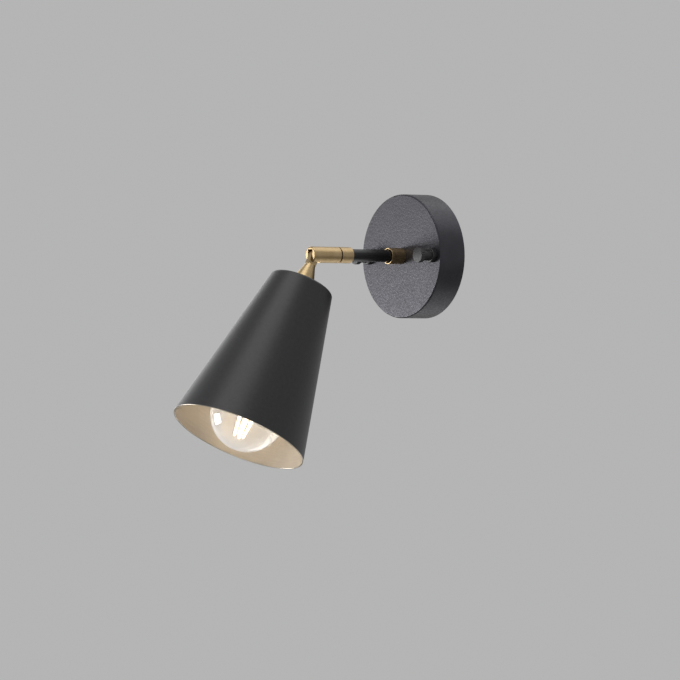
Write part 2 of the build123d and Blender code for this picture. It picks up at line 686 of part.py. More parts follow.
# ---------------------------------------------------------------- lamp holder
def holder_cap():
    cap = rod(HOLDER_R, HOLDER_PLATE, HOLDER_JOINT)
    cap = fillet(circles(cap, HOLDER_R, HOLDER_PLATE), HOLDER_EDGE)
    cap -= rod(HOLDER_BORE, HOLDER_INSIDE, HOLDER_JOINT)
    cap += rod(HOLDER_NECK_R, HOLDER_TOP, HOLDER_INSIDE)
    cap -= rod(NIPPLE_R + SLIP, HOLDER_TOP, HOLDER_INSIDE)
    level = HOLDER_TOP + HOLDER_NECK / 2
    cap -= Pos(0, 0, level) * along_x(rod(GRUB_R + SLIP, NIPPLE_R, HOLDER_NECK_R))
    cap -= Pos(0, EARTH_PILLAR_Y, 0) * rod(PILLAR_SCREW_R + SLIP, HOLDER_PLATE, HOLDER_INSIDE)
    return cap


def holder_grub_screw():
    level = HOLDER_TOP + HOLDER_NECK / 2
    screw = rod(GRUB_R, NIPPLE_R + SLIP, HOLDER_NECK_R) - slotted(GRUB_R, HOLDER_NECK_R)
    return Pos(0, 0, level) * along_x(screw)


def holder_body():
    """Skirt below the cap, with a spigot inside the cap's edge and a ledge for the base."""
    spigot_start = HOLDER_JOINT - HOLDER_SPIGOT
    skirt = rod(HOLDER_R, HOLDER_JOINT, HOLDER_END)
    skirt = fillet(circles(skirt, HOLDER_R, HOLDER_END), HOLDER_LIP_EDGE)
    skirt += rod(HOLDER_BORE - SLIP, spigot_start, HOLDER_JOINT)
    skirt -= rod(BASE_DISC_R + SLIP, spigot_start, BASE_DISC_END)
    skirt -= rod(SHELL_OUTER_R + LOOSE, BASE_DISC_END, BASE_DISC_END + HOLDER_FLOOR)
    skirt -= rod(HOLDER_BORE, BASE_DISC_END + HOLDER_FLOOR, HOLDER_END)
    return skirt


def holder_base():
    """Insulating disc that carries the contacts, kept down by the cap's pillars."""
    base = rod(BASE_DISC_R, BASE_DISC_START, BASE_DISC_END)
    for side in (-1, 1):
        hole = rod(PILLAR_SCREW_R + SLIP, BASE_DISC_START, BASE_DISC_END)
        base -= Pos(side * PILLAR_X, LEAD_PLACES["live"][1], 0) * hole
    return base


def holder_shell():
    """Brass shell that the bulb's cap screws into, with its end turned in."""
    shell = ring(SHELL_OUTER_R, SHELL_R, BASE_DISC_END, BASE_DISC_END + SHELL_LENGTH)
    lip_r = SHELL_OUTER_R - SHELL_LIP
    return shell + ring(SHELL_OUTER_R, lip_r, BASE_DISC_END, BASE_DISC_END + SHELL_WALL)


def centre_contact():
    """Bent spring strip from the base to the lamp's tip."""
    floor = BASE_DISC_END
    rise = CONTACT_ROOM - SPRING_THICK - EASY
    half = SPRING_WIDTH / 2
    foot = slab((-SPRING_REACH, -half, floor), (0, half, floor + SPRING_THICK))
    post = slab((-SPRING_REACH, -half, floor), (SPRING_THICK - SPRING_REACH, half, floor + rise))
    top = slab((-SPRING_REACH, -half, floor + rise), (half, half, floor + rise + SPRING_THICK))
    return foot + post + top


def pillar(height_from, screw_up):
    """Brass terminal pillar, cross drilled for one lead."""
    end = height_from + PILLAR_HEIGHT
    post = rod(PILLAR_R, height_from, end)
    post -= rod(PILLAR_SCREW_R + SLIP, *sorted((height_from + PILLAR_HEIGHT / 2, screw_up)))
    return post


def holder_pillars():
    posts = []
    for side, name in ((1, "live"), (-1, "neutral")):
        y = LEAD_PLACES[name][1]
        post = Pos(side * PILLAR_X, y, 0) * pillar(PILLAR_START, PILLAR_START)
        hole = along_x(rod(PILLAR_BORE, -PILLAR_R, PILLAR_R))
        posts.append(post - Pos(side * PILLAR_X, y, LEAD_LEVEL) * hole)
    return group(posts)


def earth_pillar():
    post = Pos(0, EARTH_PILLAR_Y, 0) * pillar(HOLDER_INSIDE, HOLDER_INSIDE + PILLAR_HEIGHT)
    hole = along_y(rod(PILLAR_BORE, -PILLAR_R, PILLAR_R))
    post -= Pos(0, EARTH_PILLAR_Y, EARTH_LEVEL) * hole
    rivet = Pos(0, EARTH_PILLAR_Y, 0) * rod(PILLAR_SCREW_R, HOLDER_PLATE + SLIP, HOLDER_INSIDE)
    return post + rivet


def holder_screws():
    """Clamp screws of the three pillars."""
    length = PILLAR_HEIGHT / 2 - LEAD_R - SLIP
    screws = []
    for side, name in ((1, "live"), (-1, "neutral")):
        start = PILLAR_START - PILLAR_SCREW_PROUD
        screw = rod(PILLAR_SCREW_R, start, PILLAR_START + length)
        screws.append(Pos(side * PILLAR_X, LEAD_PLACES[name][1], 0) * screw)
    end = HOLDER_INSIDE + PILLAR_HEIGHT
    screw = rod(PILLAR_SCREW_R, end - length, end + PILLAR_SCREW_PROUD)
    screws.append(Pos(0, EARTH_PILLAR_Y, 0) * screw)
    return group(screws)


# ---------------------------------------------------------------- bulb
def neck_meets_globe():
    """Height where the neck's hollow curve starts, and the point where it meets the globe."""
    share = BULB_R / (BULB_R + NECK_BLEND)
    touch = (share * (NECK_R + NECK_BLEND), BULB_CENTRE - share * NECK_DROP)
    return BULB_CENTRE - NECK_DROP, touch


def glass_outline(inset):
    """Half outline of the bulb's glass, drawn inward by the inset, closed along the axis."""
    start, (touch_r, touch_z) = neck_meets_globe()
    lean = atan2(BULB_CENTRE - touch_z, touch_r)
    shrink = (BULB_R - inset) / BULB_R
    touch = (shrink * touch_r, BULB_CENTRE - shrink * (BULB_CENTRE - touch_z))
    blend = NECK_BLEND + inset
    half = lean / 2
    centre = (NECK_R + NECK_BLEND, start)
    middle = (centre[0] - blend * cos(half), centre[1] + blend * sin(half))
    neck = (NECK_R - inset, start)
    globe = BULB_R - inset
    belly_angle = (radians(90) - lean) / 2
    belly = (globe * cos(belly_angle), BULB_CENTRE + globe * sin(belly_angle))
    tip = (0, BULB_CENTRE + globe)
    foot_top = CAP_END + LOOSE
    foot = NECK_FOOT_R - inset
    bottom = CAP_END - NECK_DEPTH

    def at(point):
        return Vector(point[0], 0, point[1])

    edges = [
        Line(at((0, bottom)), at((foot, bottom))),
        Line(at((foot, bottom)), at((foot, foot_top))),
        Line(at((foot, foot_top)), at(neck)),
        ThreePointArc(at(neck), at(middle), at(touch)),
        ThreePointArc(at(touch), at(belly), at(tip)),
        Line(at(tip), at((0, bottom))),
    ]
    return revolve(Face(Wire(edges)), Axis.Z)


def bulb_glass():
    return glass_outline(0) - glass_outline(GLASS_WALL)


def bulb_screw_cap():
    """Thin shell, ribbed where the thread is."""
    depth = CAP_R - CAP_ROOT
    first = CAP_START + CAP_PITCH / 2
    outline = [(CAP_ROOT, CAP_START)]
    for index in range(CAP_RIBS):
        foot = first + index * CAP_PITCH
        outline += [(CAP_ROOT, foot), (CAP_R, foot + depth)]
        outline += [(CAP_R, foot + CAP_PITCH / 2), (CAP_ROOT, foot + CAP_PITCH / 2 + depth)]
    outline += [(CAP_ROOT, CAP_END)]
    inside = [(r - CAP_WALL, z) for r, z in reversed(outline)]
    floor = CAP_START + CAP_WALL
    lip = CAP_BORE - CAP_LIP
    inside = [point for point in inside if point[1] > floor]
    return turned(outline + inside + [(CAP_BORE, floor), (lip, floor), (lip, CAP_START)])


def bulb_insulator():
    start = BULB_TIP + TIP
    return cone(TIP_R + INSULATOR_STEP, CAP_ROOT - INSULATOR_STEP, start, start + INSULATOR)


def bulb_contact():
    tip = rod(TIP_R, BULB_TIP, BULB_TIP + TIP)
    return fillet(circles(tip, TIP_R, BULB_TIP), TIP_EDGE)


def bulb_driver():
    """Small round circuit board in the cap, with its parts moulded in one block."""
    level = CAP_START + DRIVER_LEVEL
    top = level + DRIVER_THICK
    board = rod(CAP_BORE - DRIVER_INSET, level, top)
    block = Pos(0, 0, top) * Box(*DRIVER_BLOCK, align=UPWARD)
    foot = rod(DRIVER_FOOT_R, CAP_START, level)
    return board + block + foot


def bulb_stem():
    """Glass stem: a flare that is sealed to the neck, and a rod that carries the filaments."""
    flare_start = CAP_END - STEM_FLARE_DEPTH
    foot = NECK_FOOT_R - GLASS_WALL - SLIP
    stem = cone(foot, STEM_R, flare_start, flare_start + STEM_FLARE)
    stem += rod(STEM_R, CAP_END, STEM_TOP)
    return stem - rod(STEM_BORE, flare_start, STEM_TOP - STEM_R)


def spoke(start, end, radius, turn):
    """A round bar between two (radius, height) points, turned about the axis."""
    (r0, z0), (r1, z1) = start, end
    length = sqrt((r1 - r0) ** 2 + (z1 - z0) ** 2)
    lean = degrees(atan2(r1 - r0, z1 - z0))
    return Rot(0, 0, turn) * Pos(r0, 0, z0) * Rot(0, lean, 0) * rod(radius, 0, length)


def filament_turns():
    return [45 + index * 360 / FILAMENTS for index in range(FILAMENTS)]


def filament(turn):
    return spoke(FILAMENT_START, FILAMENT_STOP, FILAMENT_R, turn)


def bulb_filaments():
    return group([filament(turn) for turn in filament_turns()])


def filament_wires():
    """Support wires: a spider under the filaments and another at their far ends."""
    low_r, low_z = FILAMENT_START
    high_r, high_z = FILAMENT_STOP
    lower = rod(SUPPORT_HUB_R, STEM_TOP, STEM_TOP + 2 * SUPPORT_R)
    upper = rod(SUPPORT_HUB_R, HUB_LEVEL - SUPPORT_R, HUB_LEVEL + SUPPORT_R)
    for turn in filament_turns():
        lower += spoke((0, STEM_TOP + SUPPORT_R), (low_r, low_z - SUPPORT_R), SUPPORT_R, turn)
        upper += spoke((high_r, high_z + SUPPORT_R), (0, HUB_LEVEL), SUPPORT_R, turn)
    for turn in filament_turns():
        lower -= filament(turn)
        upper -= filament(turn)
    return group([lower, upper])


# ---------------------------------------------------------------- leads
def arm_lead(name):
    """One lead from the terminal block or the earth tag, through the bush, along the tube."""
    x, y = LEAD_PLACES[name]
    end = (x, y, SPINDLE_BACK - LEAD_PLAY)
    if name == "earth":
        level = TAG_LEVEL + LEAD_R
        return lead((EARTH_X + EARTH_HEAD_R + LEAD_PLAY, y, level), (x, y, level), end)
    pole = BLOCK_PITCH / 2 if name == "live" else -BLOCK_PITCH / 2
    start = (pole, -BLOCK_BELOW - LEAD_TAIL, INSERT_LEVEL)
    bend = (pole, -BLOCK_BELOW + LEAD_TAIL, INSERT_LEVEL)
    return lead(start, bend, (x, y, INSERT_LEVEL), end)


def swivel_lead(name):
    """One lead through the hollow spindle, as far as the slot."""
    x, y = LEAD_PLACES[name]
    return lead((x, y, SPINDLE_BACK + LEAD_PLAY), (x, y, PIVOT - SLOT_R - LEAD_PLAY))


def head_lead(name):
    """One lead from the knuckle, down the nipple, to its pillar in the lamp holder."""
    x, y = LEAD_PLACES[name]
    start = (x, y, WIRE_EXIT + LEAD_PLAY)
    if name == "earth":
        return lead(start, (x, y, EARTH_LEVEL), (x, EARTH_PILLAR_Y, EARTH_LEVEL))
    pillar_x = PILLAR_X if name == "live" else -PILLAR_X
    return lead(start, (x, y, LEAD_LEVEL), (pillar_x, y, LEAD_LEVEL))


ARM_PARTS = {
    "wall_bracket": wall_bracket(),
    "bracket_studs": bracket_studs(),
    "stud_lock_nuts": stud_lock_nuts(),
    "canopy": canopy(),
    "thumb_nut_left": thumb_nut(-1),
    "thumb_nut_right": thumb_nut(1),
    "terminal_block": terminal_block(),
    "terminal_inserts": terminal_inserts(),
    "terminal_screws": terminal_screws(),
    "block_screw": block_screw(),
    "earth_tag": earth_tag(),
    "earth_washer": earth_washer(),
    "earth_screw": earth_screw(),
    "arm_tube": arm_tube(),
    "tube_bush": tube_bush(),
    "arm_lock_nut": arm_lock_nut(),
    "lock_washer": lock_washer(),
    "arm_collar": arm_collar(),
    "swivel_base": swivel_base(),
    "swivel_barrel": swivel_barrel(),
    "swivel_clip": swivel_clip(),
    "swivel_washer": swivel_washer(),
    "stop_pin": stop_pin(),
    "pivot_screw": pivot_screw(),
    "knuckle_washers": knuckle_washers(),
    "live_lead": arm_lead("live"),
    "neutral_lead": arm_lead("neutral"),
    "earth_lead": arm_lead("earth"),
    "swivel_live_lead": swivel_lead("live"),
    "swivel_neutral_lead": swivel_lead("neutral"),
    "swivel_earth_lead": swivel_lead("earth"),
}

HEAD_PARTS = {
    "knuckle_cone": knuckle_cone(),
    "head_nipple": head_nipple(),
    "shade": shade(),
    "shade_washer": shade_washer(),
    "shade_nut": shade_nut(),
    "holder_cap": holder_cap(),
    "holder_grub_screw": holder_grub_screw(),
    "holder_body": holder_body(),
    "holder_base": holder_base(),
    "holder_shell": holder_shell(),
    "centre_contact": centre_contact(),
    "holder_pillars": holder_pillars(),
    "earth_pillar": earth_pillar(),
    "holder_screws": holder_screws(),
    "head_live_lead": head_lead("live"),
    "head_neutral_lead": head_lead("neutral"),
    "head_earth_lead": head_lead("earth"),
    "bulb_glass": bulb_glass(),
    "bulb_screw_cap": bulb_screw_cap(),
    "bulb_insulator": bulb_insulator(),
    "bulb_contact": bulb_contact(),
    "bulb_driver": bulb_driver(),
    "bulb_stem": bulb_stem(),
    "bulb_filaments": bulb_filaments(),
    "filament_wires": filament_wires(),
}

os.makedirs("parts", exist_ok=True)
for frame, pieces in ((ARM_FRAME, ARM_PARTS), (HEAD_FRAME, HEAD_PARTS)):
    for node, shape in pieces.items():
        export_step(frame.location * shape, f"parts/{node}.step")
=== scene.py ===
# %% [markdown]
# A pivoting spotlight for the wall, dressed for the picture.
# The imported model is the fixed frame: every solid already has its place and its joints.
# This file gives it finishes, and swaps the solids that need finer work for surfaces worked out
# with numpy. Sizes are in millimetres, as on a drawing, and are turned to metres at the end.

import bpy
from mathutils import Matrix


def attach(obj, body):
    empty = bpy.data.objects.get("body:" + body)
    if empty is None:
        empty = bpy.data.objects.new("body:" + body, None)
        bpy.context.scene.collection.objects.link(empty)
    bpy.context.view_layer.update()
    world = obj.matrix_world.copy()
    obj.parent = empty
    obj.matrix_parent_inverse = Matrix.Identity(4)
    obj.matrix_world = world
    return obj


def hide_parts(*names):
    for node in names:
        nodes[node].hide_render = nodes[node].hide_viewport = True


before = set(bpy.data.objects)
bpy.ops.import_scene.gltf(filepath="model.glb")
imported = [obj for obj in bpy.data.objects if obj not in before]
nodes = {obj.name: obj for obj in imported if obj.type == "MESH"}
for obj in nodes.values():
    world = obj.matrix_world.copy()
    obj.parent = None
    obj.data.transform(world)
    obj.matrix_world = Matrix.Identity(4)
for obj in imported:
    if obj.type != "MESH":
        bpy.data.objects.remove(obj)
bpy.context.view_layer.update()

from math import cos, radians, sin

import bmesh
import bpy
import numpy as np

MM = 0.001

# %% [markdown]
# The camera comes first, because everything else is judged through it. A long lens 4.5 m away
# flattens the lamp as the photograph does. Its place follows from four facts: how far it stands,
# from which side, how much it rolls, and on which pixel it sees the middle of the canopy's back.

# %% Camera
PICTURE = 680
FOCAL = 5559.3
DISTANCE = 4.5
AZIMUTH, ELEVATION, ROLL = radians(51.41), radians(-0.64), radians(-0.14)
CANOPY_PIXEL = (425.1, 256.7)
SENSOR = 36.0
CLIP_END = 100.0


def view_axes(azimuth, elevation, roll):
    """Right, up and forward: forward points at the lamp, right is level, then both roll."""
    forward = np.array([-sin(azimuth) * cos(elevation), cos(azimuth) * cos(elevation),
                        -sin(elevation)])
    right = np.cross(forward, [0, 0, 1])
    right /= np.linalg.norm(right)
    up = np.cross(right, forward)
    level = np.array([right, up, forward])
    turn = np.array([[cos(roll), sin(roll), 0], [-sin(roll), cos(roll), 0], [0, 0, 1]])
    return turn @ level


axes = view_axes(AZIMUTH, ELEVATION, ROLL)
half = PICTURE / 2
ray = np.array([CANOPY_PIXEL[0] - half, half - CANOPY_PIXEL[1], FOCAL])
place = -axes.T @ (ray / np.linalg.norm(ray) * DISTANCE)
camera = bpy.data.objects.new("camera", bpy.data.cameras.new("camera"))
camera.data.sensor_width = SENSOR
camera.data.lens = FOCAL / PICTURE * SENSOR
camera.data.clip_end = CLIP_END
pose = np.eye(4)
pose[:3, :3] = np.array([axes[0], axes[1], -axes[2]]).T
pose[:3, 3] = place
camera.matrix_world = pose.T
scene = bpy.context.scene
scene.collection.objects.link(camera)
scene.camera = camera
print("camera stands at", np.round(place, 3), "with a lens of", round(camera.data.lens, 1), "mm")

# %% [markdown]
# The world is a plain pale grey. The camera, mirrors and glass see it at full strength; as light
# on the lamp it is weaker, so that the studio lamps can shape the piece.

# %% World
scene.view_settings.view_transform = "Standard"
BACKGROUND = 0.46
AMBIENT = 0.26


def node(tree, kind, sockets=None, **settings):
    """Adds a node: settings by name, sockets by name or number, each a value or an output."""
    made = tree.nodes.new(kind)
    for name, value in settings.items():
        setattr(made, name, value)
    for name, value in (sockets or {}).items():
        if isinstance(value, bpy.types.NodeSocket):
            tree.links.new(value, made.inputs[name])
        else:
            made.inputs[name].default_value = value
    return made


world = bpy.data.worlds.new("studio")
scene.world = world
world.use_nodes = True
sky = world.node_tree
sky.nodes.clear()
path = node(sky, "ShaderNodeLightPath")
seen = path.outputs["Is Camera Ray"]
for kind_of_ray in ("Is Glossy Ray", "Is Transmission Ray"):
    seen = node(sky, "ShaderNodeMath", {0: seen, 1: path.outputs[kind_of_ray]},
                operation="MAXIMUM").outputs[0]
ambient = node(sky, "ShaderNodeBackground",
               {"Color": (1.0, 0.99, 0.98, 1.0), "Strength": AMBIENT})
backdrop = node(sky, "ShaderNodeBackground",
                {"Color": (1.0, 1.0, 1.0, 1.0), "Strength": BACKGROUND})
sky_light = node(sky, "ShaderNodeMixShader",
                 {0: seen, 1: ambient.outputs[0], 2: backdrop.outputs[0]})
node(sky, "ShaderNodeOutputWorld", {"Surface": sky_light.outputs[0]})
print("backdrop", BACKGROUND, "and ambient light", AMBIENT)

# %% [markdown]
# Light. The lamp is photographed lit, in a room with one soft light at the front left, a little
# below it. The canopy's face mirrors that light towards the camera, so it looks paler than its
# rim, and the arm's shadow falls on it to the upper right. Weaker lamps fill in from above and
# from the right, and three behind stand for the light that a wall throws back on the brass and on
# the shade's edges.

# %% Studio lamps
LIT_MIDDLE = np.array([0.0, -0.08, -0.03])
# For each: the direction in which it stands, metres away, width and height in metres, watts.
SOFTBOXES = {
    "window_left": ((-0.80, -0.62, -0.19), 1.7, (0.75, 0.5), 14.5),
    "fill_right": ((0.75, -0.60, 0.10), 2.2, (1.2, 1.2), 0.8),
    "fill_above": ((0.14, -0.30, 1.0), 1.6, (1.2, 1.2), 9.0),
    "wall_above": ((0.05, 0.62, 0.77), 1.4, (1.4, 0.8), 2.8),
    "wall_below": ((-0.20, 0.65, -0.65), 1.4, (1.4, 0.6), 2.0),
    "wall_left": ((-0.90, 0.25, 0.33), 1.5, (0.7, 1.2), 3.5),
}


def softbox(name, towards, distance, size, power):
    """A rectangular area lamp, size wide and high, that looks back at the lit middle."""
    out = np.array(towards) / np.linalg.norm(towards)
    lamp = bpy.data.objects.new(name, bpy.data.lights.new(name, "AREA"))
    lamp.data.shape = "RECTANGLE"
    lamp.data.size, lamp.data.size_y = size
    lamp.data.energy = power
    side = np.cross([0, 0, 1], out)
    side /= np.linalg.norm(side)
    stand = np.eye(4)
    stand[:3, :3] = np.array([side, np.cross(out, side), out]).T
    stand[:3, 3] = LIT_MIDDLE + out * distance
    lamp.matrix_world = stand.T
    lamp.visible_camera = False
    scene.collection.objects.link(lamp)


for name, settings in SOFTBOXES.items():
    softbox(name, *settings)

# %% [markdown]
# The floor. A wall light hangs about 1.6 m up, so the floor is that far below it. It is a plain
# pale disc that fades out at its rim, so no horizon crosses the picture, and it shows from above
# only, so that it never hides the lamp from a camera that looks up at it. The lamps hardly reach
# it, so it is made paler for the camera alone, to the tone of the backdrop.

# %% Floor
FLOOR_DROP = 1.6
FLOOR_CLEAR, FLOOR_END, FLOOR_MARGIN = 4.0, 8.0, 0.1
FLOOR_SIDES = 96


def hex_colour(text):
    """sRGB hex to linear: below 0.04045 divide by 12.92, above it the 2.4 power."""
    parts = np.array([int(text[i:i + 2], 16) for i in (1, 3, 5)]) / 255
    linear = np.where(parts <= 0.04045, parts / 12.92, ((parts + 0.055) / 1.055) ** 2.4)
    return (*linear.tolist(), 1.0)


def start(name):
    """An empty material, its node tree and its object coordinates."""
    made = bpy.data.materials.new(name)
    made.use_nodes = True
    made.node_tree.nodes.clear()
    spot = node(made.node_tree, "ShaderNodeTexCoord")
    return made, made.node_tree, spot.outputs["Object"]


def show(tree, shader):
    """Makes this shader the one that the material shows."""
    node(tree, "ShaderNodeOutputMaterial", {"Surface": shader.outputs[0]})


turns = np.linspace(0, 2 * np.pi, FLOOR_SIDES, endpoint=False)
rim = np.stack([FLOOR_END * np.cos(turns), FLOOR_END * np.sin(turns),
                np.full(FLOOR_SIDES, -FLOOR_DROP)], -1)
floor_mesh = bpy.data.meshes.new("floor")
floor_mesh.from_pydata(rim.tolist(), [], [list(range(FLOOR_SIDES))])
floor = bpy.data.objects.new("floor", floor_mesh)
scene.collection.objects.link(floor)
paint, tree, spot = start("floor_paint")
flat = node(tree, "ShaderNodeVectorMath", {0: spot, 1: (1.0, 1.0, 0.0)}, operation="MULTIPLY")
away = node(tree, "ShaderNodeVectorMath", {0: flat.outputs[0]}, operation="LENGTH")
fade = node(tree, "ShaderNodeMapRange",
            {"Value": away.outputs["Value"], "From Min": FLOOR_CLEAR,
             "From Max": FLOOR_END - FLOOR_MARGIN}, interpolation_type="SMOOTHSTEP")
under = node(tree, "ShaderNodeNewGeometry")
absent = node(tree, "ShaderNodeMath", {0: fade.outputs[0], 1: under.outputs["Backfacing"]},
              operation="MAXIMUM")
matt = node(tree, "ShaderNodeBsdfDiffuse", {"Color": hex_colour("#D6D6D4")})
looked_at = node(tree, "ShaderNodeLightPath")
paler = node(tree, "ShaderNodeEmission",
             {"Color": hex_colour("#9C9C9B"), "Strength": looked_at.outputs["Is Camera Ray"]})
painted = node(tree, "ShaderNodeAddShader", {0: matt.outputs[0], 1: paler.outputs[0]})
gone = node(tree, "ShaderNodeBsdfTransparent")
show(tree, node(tree, "ShaderNodeMixShader",
                {0: absent.outputs[0], 1: painted.outputs[0], 2: gone.outputs[0]}))
floor_mesh.materials.append(paint)
print("floor lies", FLOOR_DROP, "m below the arm and fades out by", FLOOR_END, "m")

# %% [markdown]
# Finishes. Each is built from what the real surface is. Two patterns do most of the work:
# a grain, which is the same in all directions, for coats, mouldings and castings, and lines that
# run round a piece, for turned and spun metal. The lines are noise that is stretched round the
# piece's axis, so the arm and the tilted head each need the pattern turned their own way.

# %% Pattern helpers
TILT = radians(28.0)
ARM_AXIS = radians(90)
HEAD_AXIS = radians(180) - TILT
NOISE_LOW, NOISE_HIGH = 0.3, 0.7


def grain(tree, spot, size, detail=2.0):
    """Noise whose lumps are about this many millimetres across."""
    made = node(tree, "ShaderNodeTexNoise",
                {"Vector": spot, "Scale": 1 / (size * MM), "Detail": detail})
    return made.outputs[0]


def lines(tree, spot, axis, spacing, reach=30.0):
    """Noise stretched to the spacing along the axis and to the reach across it, both in mm."""
    turned = node(tree, "ShaderNodeMapping",
                  {"Vector": spot, "Rotation": (axis, 0, 0),
                   "Scale": (reach * MM, reach * MM, spacing * MM)}, vector_type="TEXTURE")
    made = node(tree, "ShaderNodeTexNoise",
                {"Vector": turned.outputs[0], "Scale": 1.0, "Detail": 3.0, "Roughness": 0.65})
    return made.outputs[0]


def spread(tree, pattern, low, high):
    """Turns the middle of a noise to the range from low to high."""
    made = node(tree, "ShaderNodeMapRange",
                {"Value": pattern, "From Min": NOISE_LOW, "From Max": NOISE_HIGH,
                 "To Min": low, "To Max": high})
    return made.outputs[0]


def blend(tree, share, first, second):
    """A colour between two, given as hex, by a share from 0 to 1."""
    made = node(tree, "ShaderNodeMix", {0: share, 6: hex_colour(first), 7: hex_colour(second)},
                data_type="RGBA")
    return made.outputs[2]


def two_tone(tree, pattern, first, second):
    """A colour that drifts between two with the middle of a noise."""
    return blend(tree, spread(tree, pattern, 0, 1), first, second)


def relief(tree, pattern, depth):
    """Bump whose height is the pattern times this many millimetres."""
    made = node(tree, "ShaderNodeBump", {"Height": pattern, "Distance": depth * MM})
    return made.outputs[0]


def close(made, sockets):
    """Ends the material in one Principled shader."""
    show(made.node_tree, node(made.node_tree, "ShaderNodeBsdfPrincipled", sockets))
    return made


print("patterns run round the arm at", round(ARM_AXIS, 3), "and the head at", round(HEAD_AXIS, 3))

# %% [markdown]
# Powder coat is dry paint baked on the metal. It flows into a skin with a fine orange peel: matt,
# with a broad soft sheen where light grazes it, and a little uneven in tone. Real grain is 0.2 to
# 0.4 mm, below one pixel of this picture. The canopy's is the roughest, so it is drawn at 1.5 mm,
# coarse enough to show as a mottle, and each coat has a drift of tone nine times as wide.

# %% Coats
DRIFT = 9


def powder_coat(name, dark, pale, size, depth, rough, uneven=0.06, gloss=0.5, tint="#FFFFFF"):
    """Grain of this size and depth; uneven is how far the roughness strays."""
    made, tree, spot = start(name)
    fine = grain(tree, spot, size, 3.0)
    drift = grain(tree, spot, DRIFT * size)
    return close(made, {
        "Base Color": two_tone(tree, drift, dark, pale),
        "Roughness": spread(tree, fine, rough - uneven, rough + uneven),
        "Normal": relief(tree, fine, depth),
        "Specular IOR Level": gloss,
        "Specular Tint": hex_colour(tint),
    })


canopy_coat = powder_coat("textured_powder_coat_canopy", "#1E1D21", "#2C2B30", 1.5, 0.1, 0.41,
                          uneven=0.1, gloss=0.65, tint="#F3F1FF")
shade_coat = powder_coat("matt_powder_coat_shade", "#272729", "#2E2E31", 0.30, 0.012, 0.42)
knob_coat = powder_coat("satin_powder_coat_knobs", "#1D1D1F", "#252527", 0.25, 0.010, 0.42,
                        gloss=0.65)
tube_coat = powder_coat("satin_powder_coat_tube", "#161618", "#1C1C1E", 0.22, 0.008, 0.33)
holder_coat = powder_coat("satin_powder_coat_holder", "#222224", "#2A2A2C", 0.25, 0.010, 0.40)
print("coats:", [coat.name for coat in (canopy_coat, shade_coat, knob_coat, tube_coat,
                                        holder_coat)])

# %% [markdown]
# Brass here is turned on a lathe and left satin: hair lines round every barrel, softened by a
# clear lacquer, and a faint tarnish that drifts over some millimetres. The cap of the bulb is
# drawn nickel, and the shade's cut edge is bare sheet.

# %% Turned metal
TARNISH = 8.0


def turned_metal(name, bright, dull, axis, spacing, depth, rough):
    """Hair lines of this spacing and depth round the axis, under a drift between two tones."""
    made, tree, spot = start(name)
    hair = lines(tree, spot, axis, spacing)
    return close(made, {
        "Base Color": two_tone(tree, grain(tree, spot, TARNISH), bright, dull),
        "Metallic": 1.0,
        "Roughness": spread(tree, hair, rough - 0.06, rough + 0.08),
        "Normal": relief(tree, hair, depth),
    })


arm_brass = turned_metal("satin_brass_arm", "#C9B088", "#BBA279", ARM_AXIS, 0.35, 0.006, 0.36)
# The head's brass is the same metal as the arm's, drawn a shade darker: painted shade that tones
# down the light that the knuckle cone catches from above.
brass_painted_shade_head = turned_metal("satin_brass_head_painted_shade", "#BFA881", "#B19B74", HEAD_AXIS, 0.35, 0.006, 0.40)
plain_arm_brass = turned_metal("plain_brass_arm", "#D2B06A", "#C4A05A", ARM_AXIS, 0.3, 0.006,
                               0.28)
plain_head_brass = turned_metal("plain_brass_head", "#D2B06A", "#C4A05A", HEAD_AXIS, 0.3, 0.006,
                                0.28)
cap_metal = turned_metal("drawn_nickel_cap", "#C6C5BF", "#B8B6AF", HEAD_AXIS, 0.5, 0.008, 0.26)
cut_edge = turned_metal("bright_cut_edge", "#E4DED2", "#D6CDBD", HEAD_AXIS, 0.2, 0.004, 0.22)
print("turned:", [metal.name for metal in (arm_brass, brass_painted_shade_head, cap_metal, cut_edge)])

# %% [markdown]
# The inside of the shade is spun metal under a pale champagne lacquer with fine metal flake in
# it: half mirror, half paint. So its lines are wider than the brass's, and its mirror is softer.

# %% Spun lining
SPUN_SPACING, SPUN_REACH, SPUN_DEPTH, FLAKE = 0.8, 24.0, 0.03, 1.0
shade_lining, tree, spot = start("champagne_lacquer_lining")
rings = lines(tree, spot, HEAD_AXIS, SPUN_SPACING, SPUN_REACH)
flake = grain(tree, spot, FLAKE, 4.0)
tone = node(tree, "ShaderNodeMath",
            {0: spread(tree, rings, 0, 0.5), 1: spread(tree, flake, 0, 0.5)}, operation="ADD")
close(shade_lining, {
    "Base Color": blend(tree, tone.outputs[0], "#B6AB9B", "#CABFB0"),
    "Metallic": 0.55,
    "Roughness": spread(tree, flake, 0.42, 0.58),
    "Normal": relief(tree, rings, SPUN_DEPTH),
})
print("lining:", shade_lining.name)

# %% [markdown]
# Small hardware. Zinc plate is thin, bluish and slightly cloudy; spring steel is darker; tinned
# copper and nickel wire are pale. Mouldings are phenolic, nylon and PVC: no metal, a soft gloss,
# and the faint grain of the tool they came from. Porcelain is glazed, so it is smooth and has a
# clear gloss over it.

# %% Plated metals, mouldings and porcelain
PLATE_GRAIN, PLATE_DEPTH = 0.3, 0.006
MOULD_DRIFT = 12.0


def plated(name, bright, dull, cloud, rough):
    """Metal with a haze whose clouds are this many millimetres across, in tone and in sheen."""
    made, tree, spot = start(name)
    haze = grain(tree, spot, cloud, 4.0)
    return close(made, {
        "Base Color": two_tone(tree, haze, bright, dull),
        "Metallic": 1.0,
        "Roughness": spread(tree, haze, rough - 0.08, rough + 0.1),
        "Normal": relief(tree, grain(tree, spot, PLATE_GRAIN), PLATE_DEPTH),
    })


